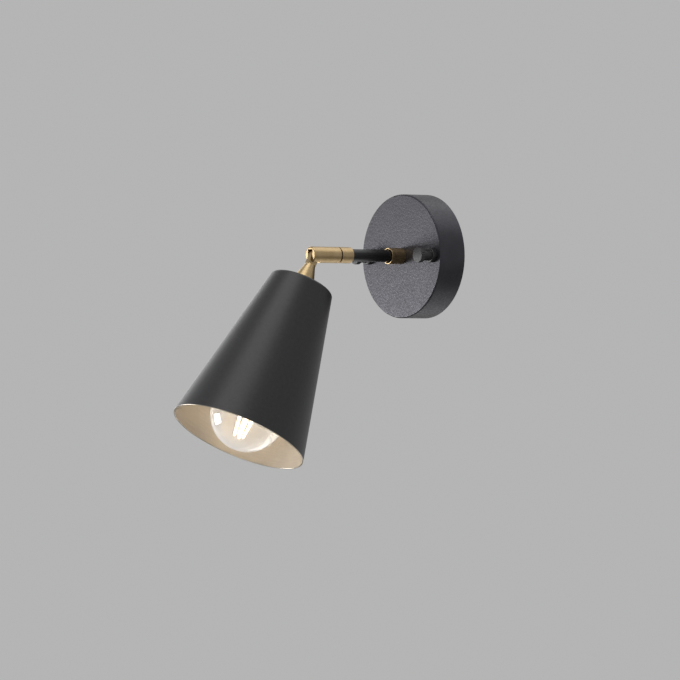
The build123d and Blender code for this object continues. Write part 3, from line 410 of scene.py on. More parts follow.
def moulded(name, pale, dark, size, depth, rough, gloss=0.0):
    """Plastic, fibre or glaze with a skin of this grain; gloss is a clear coat over it."""
    made, tree, spot = start(name)
    skin = grain(tree, spot, size, 3.0)
    return close(made, {
        "Base Color": two_tone(tree, grain(tree, spot, MOULD_DRIFT), pale, dark),
        "Roughness": spread(tree, skin, rough - 0.05, rough + 0.06),
        "Normal": relief(tree, skin, depth),
        "Coat Weight": gloss,
        "Coat Roughness": 0.06,
    })


zinc = plated("zinc_plated_steel", "#C9CCCF", "#AEB3BA", 3.0, 0.34)
spring_steel = plated("blued_spring_steel", "#8A8B90", "#6F7077", 2.0, 0.36)
tinned_copper = plated("tinned_copper", "#D3CFC6", "#BFB9AE", 2.0, 0.30)
nickel_wire = plated("nickel_wire", "#CFCCC4", "#B9B5AC", 1.0, 0.28)
solder = plated("tin_solder", "#C9C8C4", "#A9A8A6", 1.2, 0.32)
fibre = moulded("fibre_washer", "#2A2623", "#1F1C1A", 0.4, 0.02, 0.62)
nylon = moulded("nylon_block", "#ECEBE4", "#E2E0D6", 0.5, 0.01, 0.42)
bush_nylon = moulded("black_nylon_bush", "#1E1E1F", "#171718", 0.4, 0.01, 0.45)
phenolic = moulded("phenolic_moulding", "#241F1D", "#1B1817", 0.5, 0.012, 0.34, 0.2)
porcelain = moulded("glazed_porcelain", "#EFECE2", "#E6E2D6", 1.5, 0.02, 0.35, 0.9)
black_glass = moulded("black_cap_glass", "#0E0E10", "#151517", 1.0, 0.01, 0.10)
board = moulded("green_circuit_board", "#1F5A34", "#17482A", 0.6, 0.02, 0.40)
live_pvc = moulded("brown_pvc_sleeve", "#5E3A22", "#55331D", 0.6, 0.008, 0.38)
neutral_pvc = moulded("blue_pvc_sleeve", "#1E5FA8", "#1A5496", 0.6, 0.008, 0.38)
print("finishes so far:", len(bpy.data.materials))

# %% [markdown]
# The earth lead's sleeve is green with a yellow stripe along it. Each earth lead bends in one flat
# plane, so the stripe is simply the part of the sleeve on one side of that plane: above it in the
# arm, where the lead lies level, and right of it in the head, where it bends upright.

# %% Striped sleeve
EARTH_LEVEL = 1.0
STRIPE_FROM = 0.2
STRIPE_SOFT = 0.05


def striped_sleeve(name, axis, edge):
    """Green, and yellow where the given coordinate is above this many millimetres."""
    made, tree, spot = start(name)
    across = node(tree, "ShaderNodeSeparateXYZ", {0: spot})
    side = node(tree, "ShaderNodeMapRange",
                {"Value": across.outputs[axis], "From Min": edge * MM,
                 "From Max": (edge + STRIPE_SOFT) * MM})
    return close(made, {
        "Base Color": blend(tree, side.outputs[0], "#3E8A2E", "#E3C92B"),
        "Roughness": spread(tree, grain(tree, spot, 0.6), 0.33, 0.44),
    })


arm_earth_pvc = striped_sleeve("green_and_yellow_sleeve_arm", "Z", EARTH_LEVEL + STRIPE_FROM)
head_earth_pvc = striped_sleeve("green_and_yellow_sleeve_head", "X", STRIPE_FROM)
print("stripes start", STRIPE_FROM, "mm off the middle of each sleeve")

# %% [markdown]
# The bulb is clear blown glass under a millimetre thick, too thin to bend what is seen through it.
# So light passes it straight, and it shows by its gloss, which grows towards its outline, and by a
# faint haze that the lit filaments wake in it. The filaments are strips of diodes under yellow
# phosphor, which glow warm white when lit.

# %% Glass and phosphor
GLOSS_RANGE = (0.03, 0.6)
EDGE_BLEND = 0.35


def eased(tree, weight, ends):
    """Turns a weight from 0 to 1 to the range between two ends, slowly near both of them."""
    made = node(tree, "ShaderNodeMapRange", {"Value": weight, "To Min": ends[0], "To Max": ends[1]},
                interpolation_type="SMOOTHERSTEP")
    return made.outputs[0]


def thin_glass(name, tint, clear, haze):
    """A film: clear straight on, glossy and hazy towards the outline."""
    made, tree, spot = start(name)
    waves = relief(tree, grain(tree, spot, 18.0), 0.05)
    through = node(tree, "ShaderNodeBsdfTransparent", {"Color": (clear, clear, clear, 1.0)})
    mirror = node(tree, "ShaderNodeBsdfGlossy",
                  {"Color": hex_colour(tint), "Roughness": 0.05, "Normal": waves})
    veil = node(tree, "ShaderNodeBsdfTranslucent", {"Color": hex_colour(tint)})
    edge = node(tree, "ShaderNodeLayerWeight", {"Blend": EDGE_BLEND, "Normal": waves})
    gloss = eased(tree, edge.outputs["Facing"], GLOSS_RANGE)
    veiled = eased(tree, edge.outputs["Facing"], haze)
    film = node(tree, "ShaderNodeMixShader", {0: veiled, 1: through.outputs[0], 2: veil.outputs[0]})
    show(tree, node(tree, "ShaderNodeMixShader",
                    {0: gloss, 1: film.outputs[0], 2: mirror.outputs[0]}))
    return made


bulb_glass = thin_glass("blown_bulb_glass", "#F4F6FA", 0.95, (0.10, 0.5))
stem_glass = thin_glass("lead_free_stem_glass", "#F6F7F4", 0.9, (0.06, 0.4))
phosphor, tree, spot = start("diode_phosphor")
grit = grain(tree, spot, 1.2)
close(phosphor, {
    "Base Color": two_tone(tree, grit, "#F3D48C", "#F6D98A"),
    "Roughness": 0.5,
    "Normal": relief(tree, grit, 0.05),
    "Emission Color": hex_colour("#FFEFD2"),
    "Emission Strength": 5.0,
})
print("glass and phosphor:", bulb_glass.name, stem_glass.name, phosphor.name)

# %% [markdown]
# Now the shapes. Every new piece is one idea: rings carried along a line. A lathe piece has a
# straight line and a profile of radius against height. Its profile is a polygon whose corners are
# rounded as a tool or a die leaves them, with more points where a rule will change its radius.

# %% Profiles
TINY = 1e-9
FLAT_GUARD = 0.06


def rounded(corners, radii, steps):
    """A polygon of (radius, height) corners with each corner as an arc.

    The arc's centre lies on the corner's bisector, at the radius over the sine of the half angle.
    Each arc has one more point just before and after it, so that the flat parts stay flat when
    shaded smooth.
    """
    corners = np.array(corners, float)
    radii = np.array(radii, float)[:, None]
    back = np.roll(corners, 1, 0) - corners
    on = np.roll(corners, -1, 0) - corners
    back /= np.linalg.norm(back, axis=1, keepdims=True)
    on /= np.linalg.norm(on, axis=1, keepdims=True)
    middle = back + on
    length = np.linalg.norm(middle, axis=1, keepdims=True)
    middle /= np.maximum(length, TINY)
    chord = np.linalg.norm(on - back, axis=1, keepdims=True)
    across = (on - back) / np.maximum(chord, TINY)
    half_angle = np.arcsin(np.clip(chord / 2, 0, 1))
    centre = corners + middle * radii / np.maximum(np.sin(half_angle), TINY)
    swing = (np.pi / 2 - half_angle) * np.linspace(-1, 1, steps)
    arc = (centre[:, None] - radii[:, None] * middle[:, None] * np.cos(swing)[..., None]
           + radii[:, None] * across[:, None] * np.sin(swing)[..., None])
    reach = radii / np.maximum(np.tan(half_angle), TINY) + FLAT_GUARD
    first = corners + back * reach
    last = corners + on * reach
    return np.concatenate([first[:, None], arc, last[:, None]], 1).reshape(-1, 2)


def dense(profile, step, looped=True):
    """Adds points so that no run of the profile is longer than the step."""
    ends = np.roll(profile, -1, 0) if looped else np.vstack([profile[1:], profile[-1:]])
    length = np.linalg.norm(ends - profile, axis=1)
    counts = np.maximum(np.ceil(length / step).astype(int), 1)
    index = np.repeat(np.arange(len(profile)), counts)
    offset = np.arange(counts.sum()) - np.repeat(np.cumsum(counts) - counts, counts)
    share = (offset / np.repeat(counts, counts))[:, None]
    return profile[index] * (1 - share) + ends[index] * share


def from_axis(corners, radii, steps):
    """A rounded profile that starts and ends on the axis; only its two ends have no radius."""
    line = rounded(corners, radii, steps)
    return np.vstack([corners[0], line[line[:, 0] > 1e-6], corners[-1]])


print("a point stands", FLAT_GUARD, "mm before and after each rounded corner")

# %% [markdown]
# A grid of points turns a profile into a surface. Point (i, j) is the centre i plus the radius
# (i, j) times the cosine of turn j along one side vector plus its sine along the other. A wire has
# a bent line and one radius. numpy works out the whole grid at once.

# %% Surfaces
PIVOT = 114.0
HEAD_TURN = np.array([[1, 0, 0], [0, -cos(TILT), -sin(TILT)], [0, sin(TILT), -cos(TILT)]])
ARM_TURN = np.array([[1, 0, 0], [0, 0, -1], [0, 1, 0]])
IN_ARM = (ARM_TURN, np.zeros(3))
IN_HEAD = (HEAD_TURN, np.array([0, -PIVOT, 0]))
ASKEW = np.array([0.31, 0.53, 0.79])  # no wire runs along this direction
DOME_RINGS = 5


def placed(points, frame_of):
    """Local points, (x, y, along) in millimetres, to points in the room."""
    turn, origin = frame_of
    return points @ turn.T + origin


def lathe(profile, around, change=None, frame_of=IN_HEAD, centre=(0.0, 0.0), looped=True):
    """Turns a profile of (radius, height) round the local axis.

    change(turn, height, radius) may alter the radius. The profile is turned round first if its
    area, the sum of radius times the next height less the next radius times the height, is
    negative, so that every face looks outward.
    """
    profile = np.array(profile, float)
    after = np.roll(profile, -1, 0)
    if np.sum(profile[:, 0] * after[:, 1] - after[:, 0] * profile[:, 1]) < 0:
        profile = profile[::-1]
    turn = np.linspace(0, 2 * np.pi, around, endpoint=False)[None, :]
    radius = np.repeat(profile[:, :1], around, 1)
    height = np.repeat(profile[:, 1:], around, 1)
    if change is not None:
        radius = change(turn, height, radius)
    grid = np.stack([centre[0] + radius * np.cos(turn), centre[1] + radius * np.sin(turn),
                     height], -1)
    return {"points": placed(grid, frame_of), "looped": looped, "profile": profile}


def wire(line, radius, around, cap=0.25):
    """Rings along a line in the head's frame; its domed ends are the radius times cap deep."""
    line = np.array(line, float)
    run = np.gradient(line, axis=0)
    run /= np.linalg.norm(run, axis=1, keepdims=True)
    side = np.cross(run, ASKEW)
    side /= np.linalg.norm(side, axis=1, keepdims=True)
    up = np.cross(run, side)
    dome = np.linspace(0, np.pi / 2, DOME_RINGS)
    sink = radius * cap * (1 - np.cos(dome))[:, None]
    centres = np.vstack([line[0] + run[0] * sink, line[1:-1], line[-1] - run[-1] * sink[::-1]])
    radii = radius * np.r_[np.sin(dome), np.ones(len(line) - 2), np.sin(dome[::-1])]
    pick = np.r_[[0] * DOME_RINGS, np.arange(1, len(line) - 1), [-1] * DOME_RINGS]
    turn = np.linspace(0, 2 * np.pi, around, endpoint=False)[None, :, None]
    spokes = np.cos(turn) * side[pick][:, None] + np.sin(turn) * up[pick][:, None]
    grid = centres[:, None] + radii[:, None, None] * spokes
    return {"points": placed(grid, IN_HEAD), "looped": False}


print("the head leans", round(np.degrees(TILT), 1), "degrees out from straight down")

# %% [markdown]
# Last comes the mesh. Rings are joined by quads, and where a surface closes on its axis its last
# ring is one point, a pole, with a fan of triangles. The mesh then takes the place of its solid,
# on the same body.

# %% Meshes


def faces_of(rows, around, looped, shift):
    """Faces of a grid of rings whose points are counted from shift: quads, and a fan per pole."""
    inner = rows if looped else rows - 2
    i, j = np.meshgrid(np.arange(inner if looped else inner - 1), np.arange(around),
                       indexing="ij")
    offset = 0 if looped else 1
    a = offset + i * around + j
    b = offset + i * around + (j + 1) % around
    c = offset + (i + 1) % inner * around + (j + 1) % around
    d = offset + (i + 1) % inner * around + j
    faces = (shift + np.stack([a, b, c, d], -1).reshape(-1, 4)).tolist()
    if not looped:
        j = np.arange(around)
        k = (j + 1) % around
        last = 1 + (inner - 1) * around
        faces += (shift + np.stack([0 * j, 1 + k, 1 + j], -1)).tolist()
        faces += (shift + np.stack([last + j, last + k, 0 * j + last + around], -1)).tolist()
    return faces


def stand_in(name, mesh, body, stands_for):
    """Puts the mesh in the scene in place of a solid, and gives it its body."""
    made = bpy.data.objects.new(name, mesh)
    scene.collection.objects.link(made)
    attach(made, body)
    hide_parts(stands_for)
    return made


def piece(name, body, finishes, grids, stands_for, finish_rows=None):
    """Puts the grids in one mesh, in metres, in place of a solid.

    finish_rows is for one grid with more than one finish: the number of the finish in each row.
    """
    points, faces, shift = [], [], 0
    for grid in grids if isinstance(grids, list) else [grids]:
        block = grid["points"]
        rows, around = block.shape[:2]
        faces += faces_of(rows, around, grid["looped"], shift)
        if grid["looped"]:
            points.append(block.reshape(-1, 3))
        else:
            points.append(np.vstack([block[0, :1], block[1:-1].reshape(-1, 3), block[-1, :1]]))
        shift += len(points[-1])
    points = np.vstack(points)
    mesh = bpy.data.meshes.new(name)
    mesh.from_pydata((points * MM).tolist(), [], faces)
    mesh.polygons.foreach_set("use_smooth", np.ones(len(faces), bool))
    for finish in finishes:
        mesh.materials.append(finish)
    if finish_rows is not None:
        row_finish = np.repeat(finish_rows, around).astype(np.int32)
        mesh.polygons.foreach_set("material_index", row_finish)
    mesh.update()
    stand_in(name, mesh, body, stands_for)
    print(f"{name}: {len(faces)} faces, {(points.max(0) - points.min(0)).round(2)} mm")


print("a closed tube of 3 rings of 4 has", len(faces_of(3, 4, True, 0)), "faces")

# %% [markdown]
# The shade is spun: a disc of sheet is pressed over a turning cone, which leaves one wall of even
# thickness, a soft shoulder at the top and a cut edge at the mouth. Its profile is a closed loop:
# down the outside, round the edge, up the inside. Outside it is coated, inside it is lacquered,
# and the edge shows as a thin bright line.

# %% Shade
CONE_END = 27.006
SHADE_TOP, SHADE_MOUTH, SHADE_HEIGHT, SHADE_WALL = 25.8, 55.0, 137.0, 1.0
SHADE_HOLE = 5.2
SHOULDER, INNER_SHOULDER, MOUTH_EDGE, HOLE_EDGE = 2.5, 1.5, 0.3, 0.15
CUT_BAND = 0.32
COATED, LINED, CUT = 0, 1, 2
SHADE_END = CONE_END + SHADE_HEIGHT
lean = np.hypot(SHADE_HEIGHT, SHADE_MOUTH - SHADE_TOP) / SHADE_HEIGHT
slope = (SHADE_MOUTH - SHADE_TOP) / SHADE_HEIGHT
inner_top = SHADE_TOP + slope * SHADE_WALL - SHADE_WALL * lean
inner_mouth = SHADE_MOUTH - SHADE_WALL * lean
outline = rounded([(SHADE_HOLE, CONE_END), (SHADE_HOLE, CONE_END + SHADE_WALL),
                   (inner_top, CONE_END + SHADE_WALL), (inner_mouth, SHADE_END),
                   (SHADE_MOUTH, SHADE_END), (SHADE_TOP, CONE_END)],
                  [HOLE_EDGE, HOLE_EDGE, INNER_SHOULDER, MOUTH_EDGE, MOUTH_EDGE, SHOULDER], 7)
shade_grid = lathe(dense(outline, 5.0), 256)
across, along = ((shade_grid["profile"] + np.roll(shade_grid["profile"], -1, 0)) / 2).T
middle_of_wall = SHADE_TOP + slope * (along - CONE_END) - SHADE_WALL * lean / 2
outside = (across > middle_of_wall) | (along < CONE_END + SHADE_WALL / 2)
finish_of = np.where(along > SHADE_END - CUT_BAND, CUT, np.where(outside, COATED, LINED))
piece("shade_spun", "head", [shade_coat, shade_lining, cut_edge], shade_grid,
      "shade", finish_of)

# %% [markdown]
# The bulb's glass is blown: a globe that runs through a hollow curve into a straight neck, and a
# foot inside the metal cap. The two curves touch where the line between their centres crosses the
# globe, so the outline is smooth. The inside is the same outline drawn 0.8 mm inward.

# %% Bulb glass
BULB_TIP, BULB_LENGTH = 65.806, 108.0
CAP_START, CAP_LENGTH = BULB_TIP + 5.2, 21.0
CAP_END = CAP_START + CAP_LENGTH
GLOBE = 30.0
GLOBE_AT = BULB_TIP + BULB_LENGTH - GLOBE
NECK, NECK_RISE, GLASS = 14.0, 5.3, 0.8
FOOT, FOOT_DEPTH = 11.55, 10.5


def glass_line(inset):
    """Foot, neck, hollow curve and globe, as (radius, height) from the foot to the far end."""
    drop = GLOBE_AT - CAP_END - NECK_RISE
    hollow = (drop**2 - GLOBE**2 + NECK**2) / (2 * (GLOBE - NECK))
    lift = np.arcsin(drop / (GLOBE + hollow))
    curve = np.linspace(0, lift, 28)
    neck_part = np.stack([NECK + hollow - (hollow + inset) * np.cos(curve),
                          GLOBE_AT - drop + (hollow + inset) * np.sin(curve)], -1)
    ball = np.linspace(-lift, np.pi / 2, 72)[1:]
    globe_part = np.stack([(GLOBE - inset) * np.cos(ball),
                           GLOBE_AT + (GLOBE - inset) * np.sin(ball)], -1)
    foot_r = FOOT - inset
    foot = [[foot_r, CAP_END - FOOT_DEPTH], [foot_r, CAP_END - 4.0], [foot_r, CAP_END + 0.2],
            [foot_r + 0.35, CAP_END + 0.5], [NECK - inset - 0.3, CAP_END + NECK_RISE - 0.6]]
    return np.vstack([foot, neck_part, globe_part])


outer, inner = glass_line(0.0), glass_line(GLASS)
outer[-1, 0] = inner[-1, 0] = 0.0
skin = np.vstack([inner[::-1], outer])
piece("bulb_glass_blown", "bulb", [bulb_glass], lathe(skin, 160, looped=False),
      "bulb_glass")

# %% [markdown]
# The cap is drawn from thin sheet and rolled, so its thread is soft and wavy, not cut. Its radius
# depends on both turn and height: a cosine of height over pitch less turn over a full circle makes
# the helix, and a smooth window lets the thread rise and die away.

# %% Screw cap
PITCH, THREAD = 3.6, 0.85
CAP_CREST, CAP_HOLE, CAP_SHEET = 13.1, 8.85, 0.4
CAP_ROOT = CAP_CREST - THREAD
CAP_ROWS = 110


def window(height, low, high, soft):
    """0 outside, 1 inside, with a smooth step of this softness at both ends."""
    rise = np.clip((height - low) / soft, 0, 1)
    fall = np.clip((high - height) / soft, 0, 1)
    return rise**2 * (3 - 2 * rise) * fall**2 * (3 - 2 * fall)


def helix(turn, height):
    """The rolled thread's wave, from 0 in its root to 1 at its crest."""
    return 0.5 + 0.5 * np.cos(2 * np.pi * height / PITCH - turn)


def cap_thread(turn, height, radius):
    """Lifts the wall by the thread's depth times the wave."""
    on_wall = radius > CAP_ROOT - 1.0
    fades = window(height, CAP_START + 1.5, CAP_END - 3.5, 1.6)
    return radius + on_wall * THREAD * helix(turn, height) * fades


tall = np.linspace(CAP_START + 0.9, CAP_END - 0.3, CAP_ROWS)
cap_line = np.vstack([
    [[CAP_HOLE, CAP_START + 0.4], [CAP_HOLE, CAP_START], [CAP_ROOT - 0.9, CAP_START],
     [CAP_ROOT - 0.4, CAP_START + 0.12], [CAP_ROOT - 0.1, CAP_START + 0.45]],
    np.stack([np.full(CAP_ROWS, CAP_ROOT), tall], -1),
    [[CAP_ROOT, CAP_END], [CAP_ROOT - CAP_SHEET, CAP_END]],
    np.stack([np.full(CAP_ROWS, CAP_ROOT - CAP_SHEET), tall[::-1]], -1),
    [[CAP_ROOT - 0.7, CAP_START + 0.5], [CAP_ROOT - 1.2, CAP_START + 0.4]]])
piece("bulb_cap_rolled", "bulb", [cap_metal], lathe(cap_line, 144, cap_thread),
      "bulb_screw_cap")

# %% [markdown]
# The shell in the lamp holder is rolled the same way, so that one screws into the other. Its
# thread is shallower, and it goes inward from the wall.

# %% Holder shell
SHELL_START, SHELL_END = 62.006, 88.006
SHELL_OUT, SHELL_IN, SHELL_HOLE = 13.9, 13.62, 10.9
SHELL_THREAD = 0.22
SHELL_ROWS = 120


def shell_thread(turn, height, radius):
    """Sinks the wall by the thread's depth times one less the wave."""
    on_wall = radius > 13.2
    fades = window(height, SHELL_START + 2, SHELL_END - 1, 1.5)
    return radius - on_wall * SHELL_THREAD * (1 - helix(turn, height)) * fades


tall = np.linspace(SHELL_START + 1.0, SHELL_END - 0.3, SHELL_ROWS)
shell_line = np.vstack([
    [[SHELL_HOLE, SHELL_START + 0.4], [SHELL_HOLE, SHELL_START], [13.1, SHELL_START],
     [13.6, SHELL_START + 0.15], [13.86, SHELL_START + 0.5]],
    np.stack([np.full(SHELL_ROWS, SHELL_OUT), tall], -1),
    [[13.88, SHELL_END - 0.1], [13.75, SHELL_END], [SHELL_IN, SHELL_END - 0.1]],
    np.stack([np.full(SHELL_ROWS, SHELL_IN), tall[::-1]], -1),
    [[13.4, SHELL_START + 0.6], [13.0, SHELL_START + 0.45]]])
piece("holder_shell_rolled", "head", [plain_head_brass],
      lathe(shell_line, 144, shell_thread), "holder_shell")

# %% [markdown]
# The cap ends in a cone of black glass that keeps its two contacts apart, and a brass button
# under a drop of solder. A drop is never quite round, so its radius wavers a little with the turn.

# %% Insulator and solder contact
DROP_R, DROP_HEIGHT = 4.5, 0.9
CONE_TIP, CONE_WAIST, CONE_RIM, CONE_TALL = 5.5, 8.6, 11.25, 4.0
low = BULB_TIP + 1.2
cone_line = from_axis([(0, low), (CONE_TIP, low), (CONE_WAIST, low + 1.3),
                       (CONE_RIM, low + CONE_TALL), (0, low + CONE_TALL)],
                      [0.0, 0.4, 1.5, 0.2, 0.0], 6)
piece("insulator_pressed", "bulb", [black_glass],
      lathe(cone_line, 96, looped=False), "bulb_insulator")


def drop_wave(turn, height, radius):
    """The radius less 5%, plus 3% of three waves round the turn and 2% of five."""
    return radius * (1 + 0.03 * np.cos(3 * turn + 0.6) + 0.02 * np.cos(5 * turn + 2.0) - 0.05)


arc = np.linspace(0, np.pi / 2, 12)
drop_line = np.vstack([
    np.stack([DROP_R * np.sin(arc), BULB_TIP + DROP_HEIGHT - DROP_HEIGHT * np.cos(arc)], -1),
    [[DROP_R, low - 0.05], [DROP_R - 0.2, low], [0, low]]])
piece("contact_solder", "bulb", [solder],
      lathe(drop_line, 64, drop_wave, looped=False), "bulb_contact")

# %% [markdown]
# Inside the bulb a glass stem flares out to the neck, where it is sealed. Its radius is that of
# the stem plus a flare times the 2.2 power of what is left of the height. Its top is a dome.

# %% Stem
STEM_R, STEM_BORE, STEM_MOUTH = 3.0, 1.2, 10.2
STEM_TOP = GLOBE_AT - 17.8
FLARE, FLARE_TALL, FLARE_POWER = 7.6, 14.0, 2.2
STEM_DOME = 1.5
flare = np.linspace(0, 1, 30)
stem_line = np.vstack([
    [[0, STEM_TOP - 3.0], [1.0, STEM_TOP - 3.0], [STEM_BORE, STEM_TOP - 3.4],
     [STEM_BORE, CAP_END - 4.8], [1.4, CAP_END - 5.0], [STEM_MOUTH, CAP_END - 5.0]],
    np.stack([STEM_R + FLARE * (1 - flare) ** FLARE_POWER,
              CAP_END - 4.8 + FLARE_TALL * flare], -1),
    [[STEM_R, STEM_TOP - 1.6]],
    np.stack([STEM_R * np.cos(arc), STEM_TOP - STEM_DOME + STEM_DOME * np.sin(arc)], -1)])
stem_line[-1, 0] = 0.0
piece("stem_drawn", "bulb", [stem_glass], lathe(stem_line, 64, looped=False),
      "bulb_stem")

# %% [markdown]
# Four filaments stand round the stem's end, each a rounded rod. Fine nickel wires hold them: each
# wire leaves the middle level and curves up to its filament, as a quarter wave does, and a bead
# of metal joins the four in the middle.

# %% Filaments and their wires
QUARTERS = radians(45) + np.arange(4) * radians(90)
NEAR, FAR = (7.5, STEM_TOP + 3.0), (3.5, GLOBE_AT + 20.2)
ROD_R, WIRE_R = 0.95, 0.28
HUB_LIFT, WIRE_START = 2.0, 0.3
BEAD_R, BEAD_HALF = 0.8, 0.5


def spoke_points(turn, radii, heights):
    """Points at these radii and heights, on one side of the axis."""
    return np.stack([np.array(radii) * cos(turn), np.array(radii) * sin(turn), np.array(heights)],
                    -1)


share = np.linspace(0, 1, 24)
rods = [wire(spoke_points(t, NEAR[0] + (FAR[0] - NEAR[0]) * share,
                          NEAR[1] + (FAR[1] - NEAR[1]) * share), ROD_R, 20, cap=1.0)
        for t in QUARTERS]
piece("filaments_coated", "bulb", [phosphor], rods, "bulb_filaments")

bend = np.linspace(0, np.pi / 2, 14)
low_rise = STEM_TOP + WIRE_START + (NEAR[1] - STEM_TOP - WIRE_START) * (1 - np.cos(bend))
high_rise = FAR[1] + HUB_LIFT * np.sin(bend)
low_wires = [wire(spoke_points(t, NEAR[0] * np.sin(bend), low_rise), WIRE_R, 10)
             for t in QUARTERS]
high_wires = [wire(spoke_points(t, FAR[0] * np.cos(bend), high_rise), WIRE_R, 10)
              for t in QUARTERS]
swing = np.linspace(0, np.pi, 9)
bead_r = BEAD_R * np.abs(np.sin(swing)) * (np.sin(swing) > TINY)
beads = [lathe(np.stack([bead_r, level - BEAD_HALF * np.cos(swing)], -1), 24, looped=False)
         for level in (STEM_TOP + BEAD_HALF, FAR[1] + HUB_LIFT)]
piece("filament_wires_bent", "bulb", [nickel_wire],
      low_wires + high_wires + beads, "filament_wires")

# %% [markdown]
# Thumb nuts are turned from bar: a flange that lies on the canopy, a slim neck and a head with a
# ring of grip grooves. The grooves are the sixth power of a cosine round the turn, on the head.

# %% Thumb nuts
STUD_X = 40.0
KNOB_SEAT, KNOB_NECK, KNOB_HEAD, KNOB_END = 25.05, 29.5, 37.0, 41.0
KNOB, KNOB_WAIST = 6.0, 4.5
KNOB_BORE, BORE_END = 2.05, 36.0
GRIPS, GRIP_DEPTH = 24, 0.3


def grips(turn, height, radius):
    """Sinks the head's side by the grip's depth times the groove's wave."""
    groove = np.abs(np.cos(GRIPS * turn / 2)) ** 6
    fades = window(height, KNOB_HEAD + 0.1, KNOB_END - 0.1, 0.4)
    return radius - GRIP_DEPTH * groove * fades * (radius > KNOB - 0.5)


knob_line = from_axis([(0, BORE_END), (KNOB_BORE, BORE_END), (KNOB_BORE, KNOB_SEAT),
                       (KNOB, KNOB_SEAT), (KNOB, KNOB_NECK), (KNOB_WAIST, KNOB_NECK),
                       (KNOB_WAIST, KNOB_HEAD), (KNOB, KNOB_HEAD), (KNOB, KNOB_END),
                       (0, KNOB_END)],
                      [0.0, 0.05, 0.2, 0.3, 0.5, 0.3, 0.3, 0.5, 0.5, 0.0], 6)
for side, name in ((-1, "left"), (1, "right")):
    knob = lathe(dense(knob_line, 0.7, looped=False), 288, grips, IN_ARM, (side * STUD_X, 0.0),
                 looped=False)
    piece(f"thumb_nut_{name}_turned", f"{name}_nut", [knob_coat], knob,
          f"thumb_nut_{name}")

# %% [markdown]
# The collar is a short brass sleeve: its back grips the tube, and its open mouth stands clear of
# it, so one sees a bright cut ring and a dark gap.

# %% Collar
CANOPY_FACE, COLLAR_SEAT_END, COLLAR_END = 25.0, 31.0, 39.0
TUBE_HOLE, COLLAR_MOUTH, COLLAR_R = 5.05, 5.7, 6.5
collar_line = rounded([(TUBE_HOLE, CANOPY_FACE), (COLLAR_R, CANOPY_FACE), (COLLAR_R, COLLAR_END),
                       (COLLAR_MOUTH, COLLAR_END), (COLLAR_MOUTH, COLLAR_SEAT_END),
                       (TUBE_HOLE, COLLAR_SEAT_END)],
                      [0.1, 0.25, 0.18, 0.12, 0.1, 0.1], 5)
piece("collar_turned", "wall_side", [arm_brass],
      lathe(dense(collar_line, 1.5), 128, frame_of=IN_ARM), "arm_collar")

# %% [markdown]
# A cut thread is a helix too, but sharper than a rolled one: a triangle wave instead of a cosine.
# The studs are headed at the back of the bracket, and their tips are chamfered so that the thumb
# nuts start easily.

# %% Studs
STUD, STUD_TIP, STUD_TAPER = 2.0, 35.0, 0.4
THREAD_PITCH, THREAD_DEPTH, THREAD_FROM = 0.7, 0.36, 6.0
HEAD_R, HEAD_THICK, HEAD_EASE = 3.5, 1.0, 0.1


def stud_thread(turn, height, radius):
    """Sinks the wall by the depth times a wave that falls and rises evenly over each pitch."""
    wave = np.abs(((height / THREAD_PITCH - turn / (2 * np.pi)) % 1.0) - 0.5) * 2
    fades = window(height, THREAD_FROM, STUD_TIP + 1, 0.8)
    return radius - THREAD_DEPTH * wave * fades * (radius > 1.7)


steps_up = np.arange(1.4, STUD_TIP - STUD_TAPER, THREAD_PITCH / 8)
stud_line = np.vstack([
    [[0, 0.05], [HEAD_R - HEAD_EASE, 0.05], [HEAD_R, 0.15], [HEAD_R, HEAD_THICK - HEAD_EASE],
     [HEAD_R - HEAD_EASE, HEAD_THICK], [STUD + HEAD_EASE, HEAD_THICK],
     [STUD, HEAD_THICK + HEAD_EASE]],
    np.stack([np.full(len(steps_up), STUD), steps_up], -1),
    [[STUD, STUD_TIP - STUD_TAPER], [STUD - STUD_TAPER, STUD_TIP], [0, STUD_TIP]]])
studs = [lathe(stud_line, 32, stud_thread, IN_ARM, (side * STUD_X, 0.0), looped=False)
         for side in (-1, 1)]
piece("bracket_studs_threaded", "wall_side", [zinc], studs, "bracket_studs")

# %% [markdown]
# A nut is a hexagon whose corners were turned off on a cone, so its radius is the smaller of two:
# the flat's distance over the cosine of the turn from the middle of that flat, and the cone's
# radius. The end on its seat keeps its corners.

# %% Hexagon nuts
CONE_AT_FACE, BORE_BELOW = 0.475, 0.45
CHAMFER_ANGLE = radians(30)
SQUARE = 99
NUT_ROWS = np.array([0, 0.03, 0.07, 0.12, 0.18, 0.25, 0.5, 0.75, 0.82, 0.88, 0.93, 0.97, 1])
BORE_EASE = 0.3


def hexagon(across_flats, start, end, chamfered):
    """Radius rule of a nut; chamfered says which ends, (start, end), have corners turned off."""
    def change(turn, height, radius):
        from_flat = (turn + np.pi / 6) % (np.pi / 3) - np.pi / 6
        flat = across_flats / 2 / np.cos(from_flat)
        depth = np.minimum(np.where(chamfered[0], height - start, SQUARE),
                           np.where(chamfered[1], end - height, SQUARE))
        turned = across_flats * CONE_AT_FACE + depth / np.tan(CHAMFER_ANGLE)
        return np.where(radius > across_flats * BORE_BELOW, np.minimum(flat, turned), radius)
    return change


def nut(across_flats, bore, start, end, chamfered, frame_of, centre=(0.0, 0.0)):
    """A hexagon nut from start to end along the axis, with more rows where it is chamfered."""
    rows = start + (end - start) * NUT_ROWS
    line = np.vstack([[[bore, start + BORE_EASE], [bore + BORE_EASE, start]],
                      np.stack([np.full(len(rows), across_flats / 2), rows], -1),
                      [[bore + BORE_EASE, end], [bore, end - BORE_EASE]]])
    rule = hexagon(across_flats, start, end, chamfered)
    return lathe(line, 144, rule, frame_of, centre)


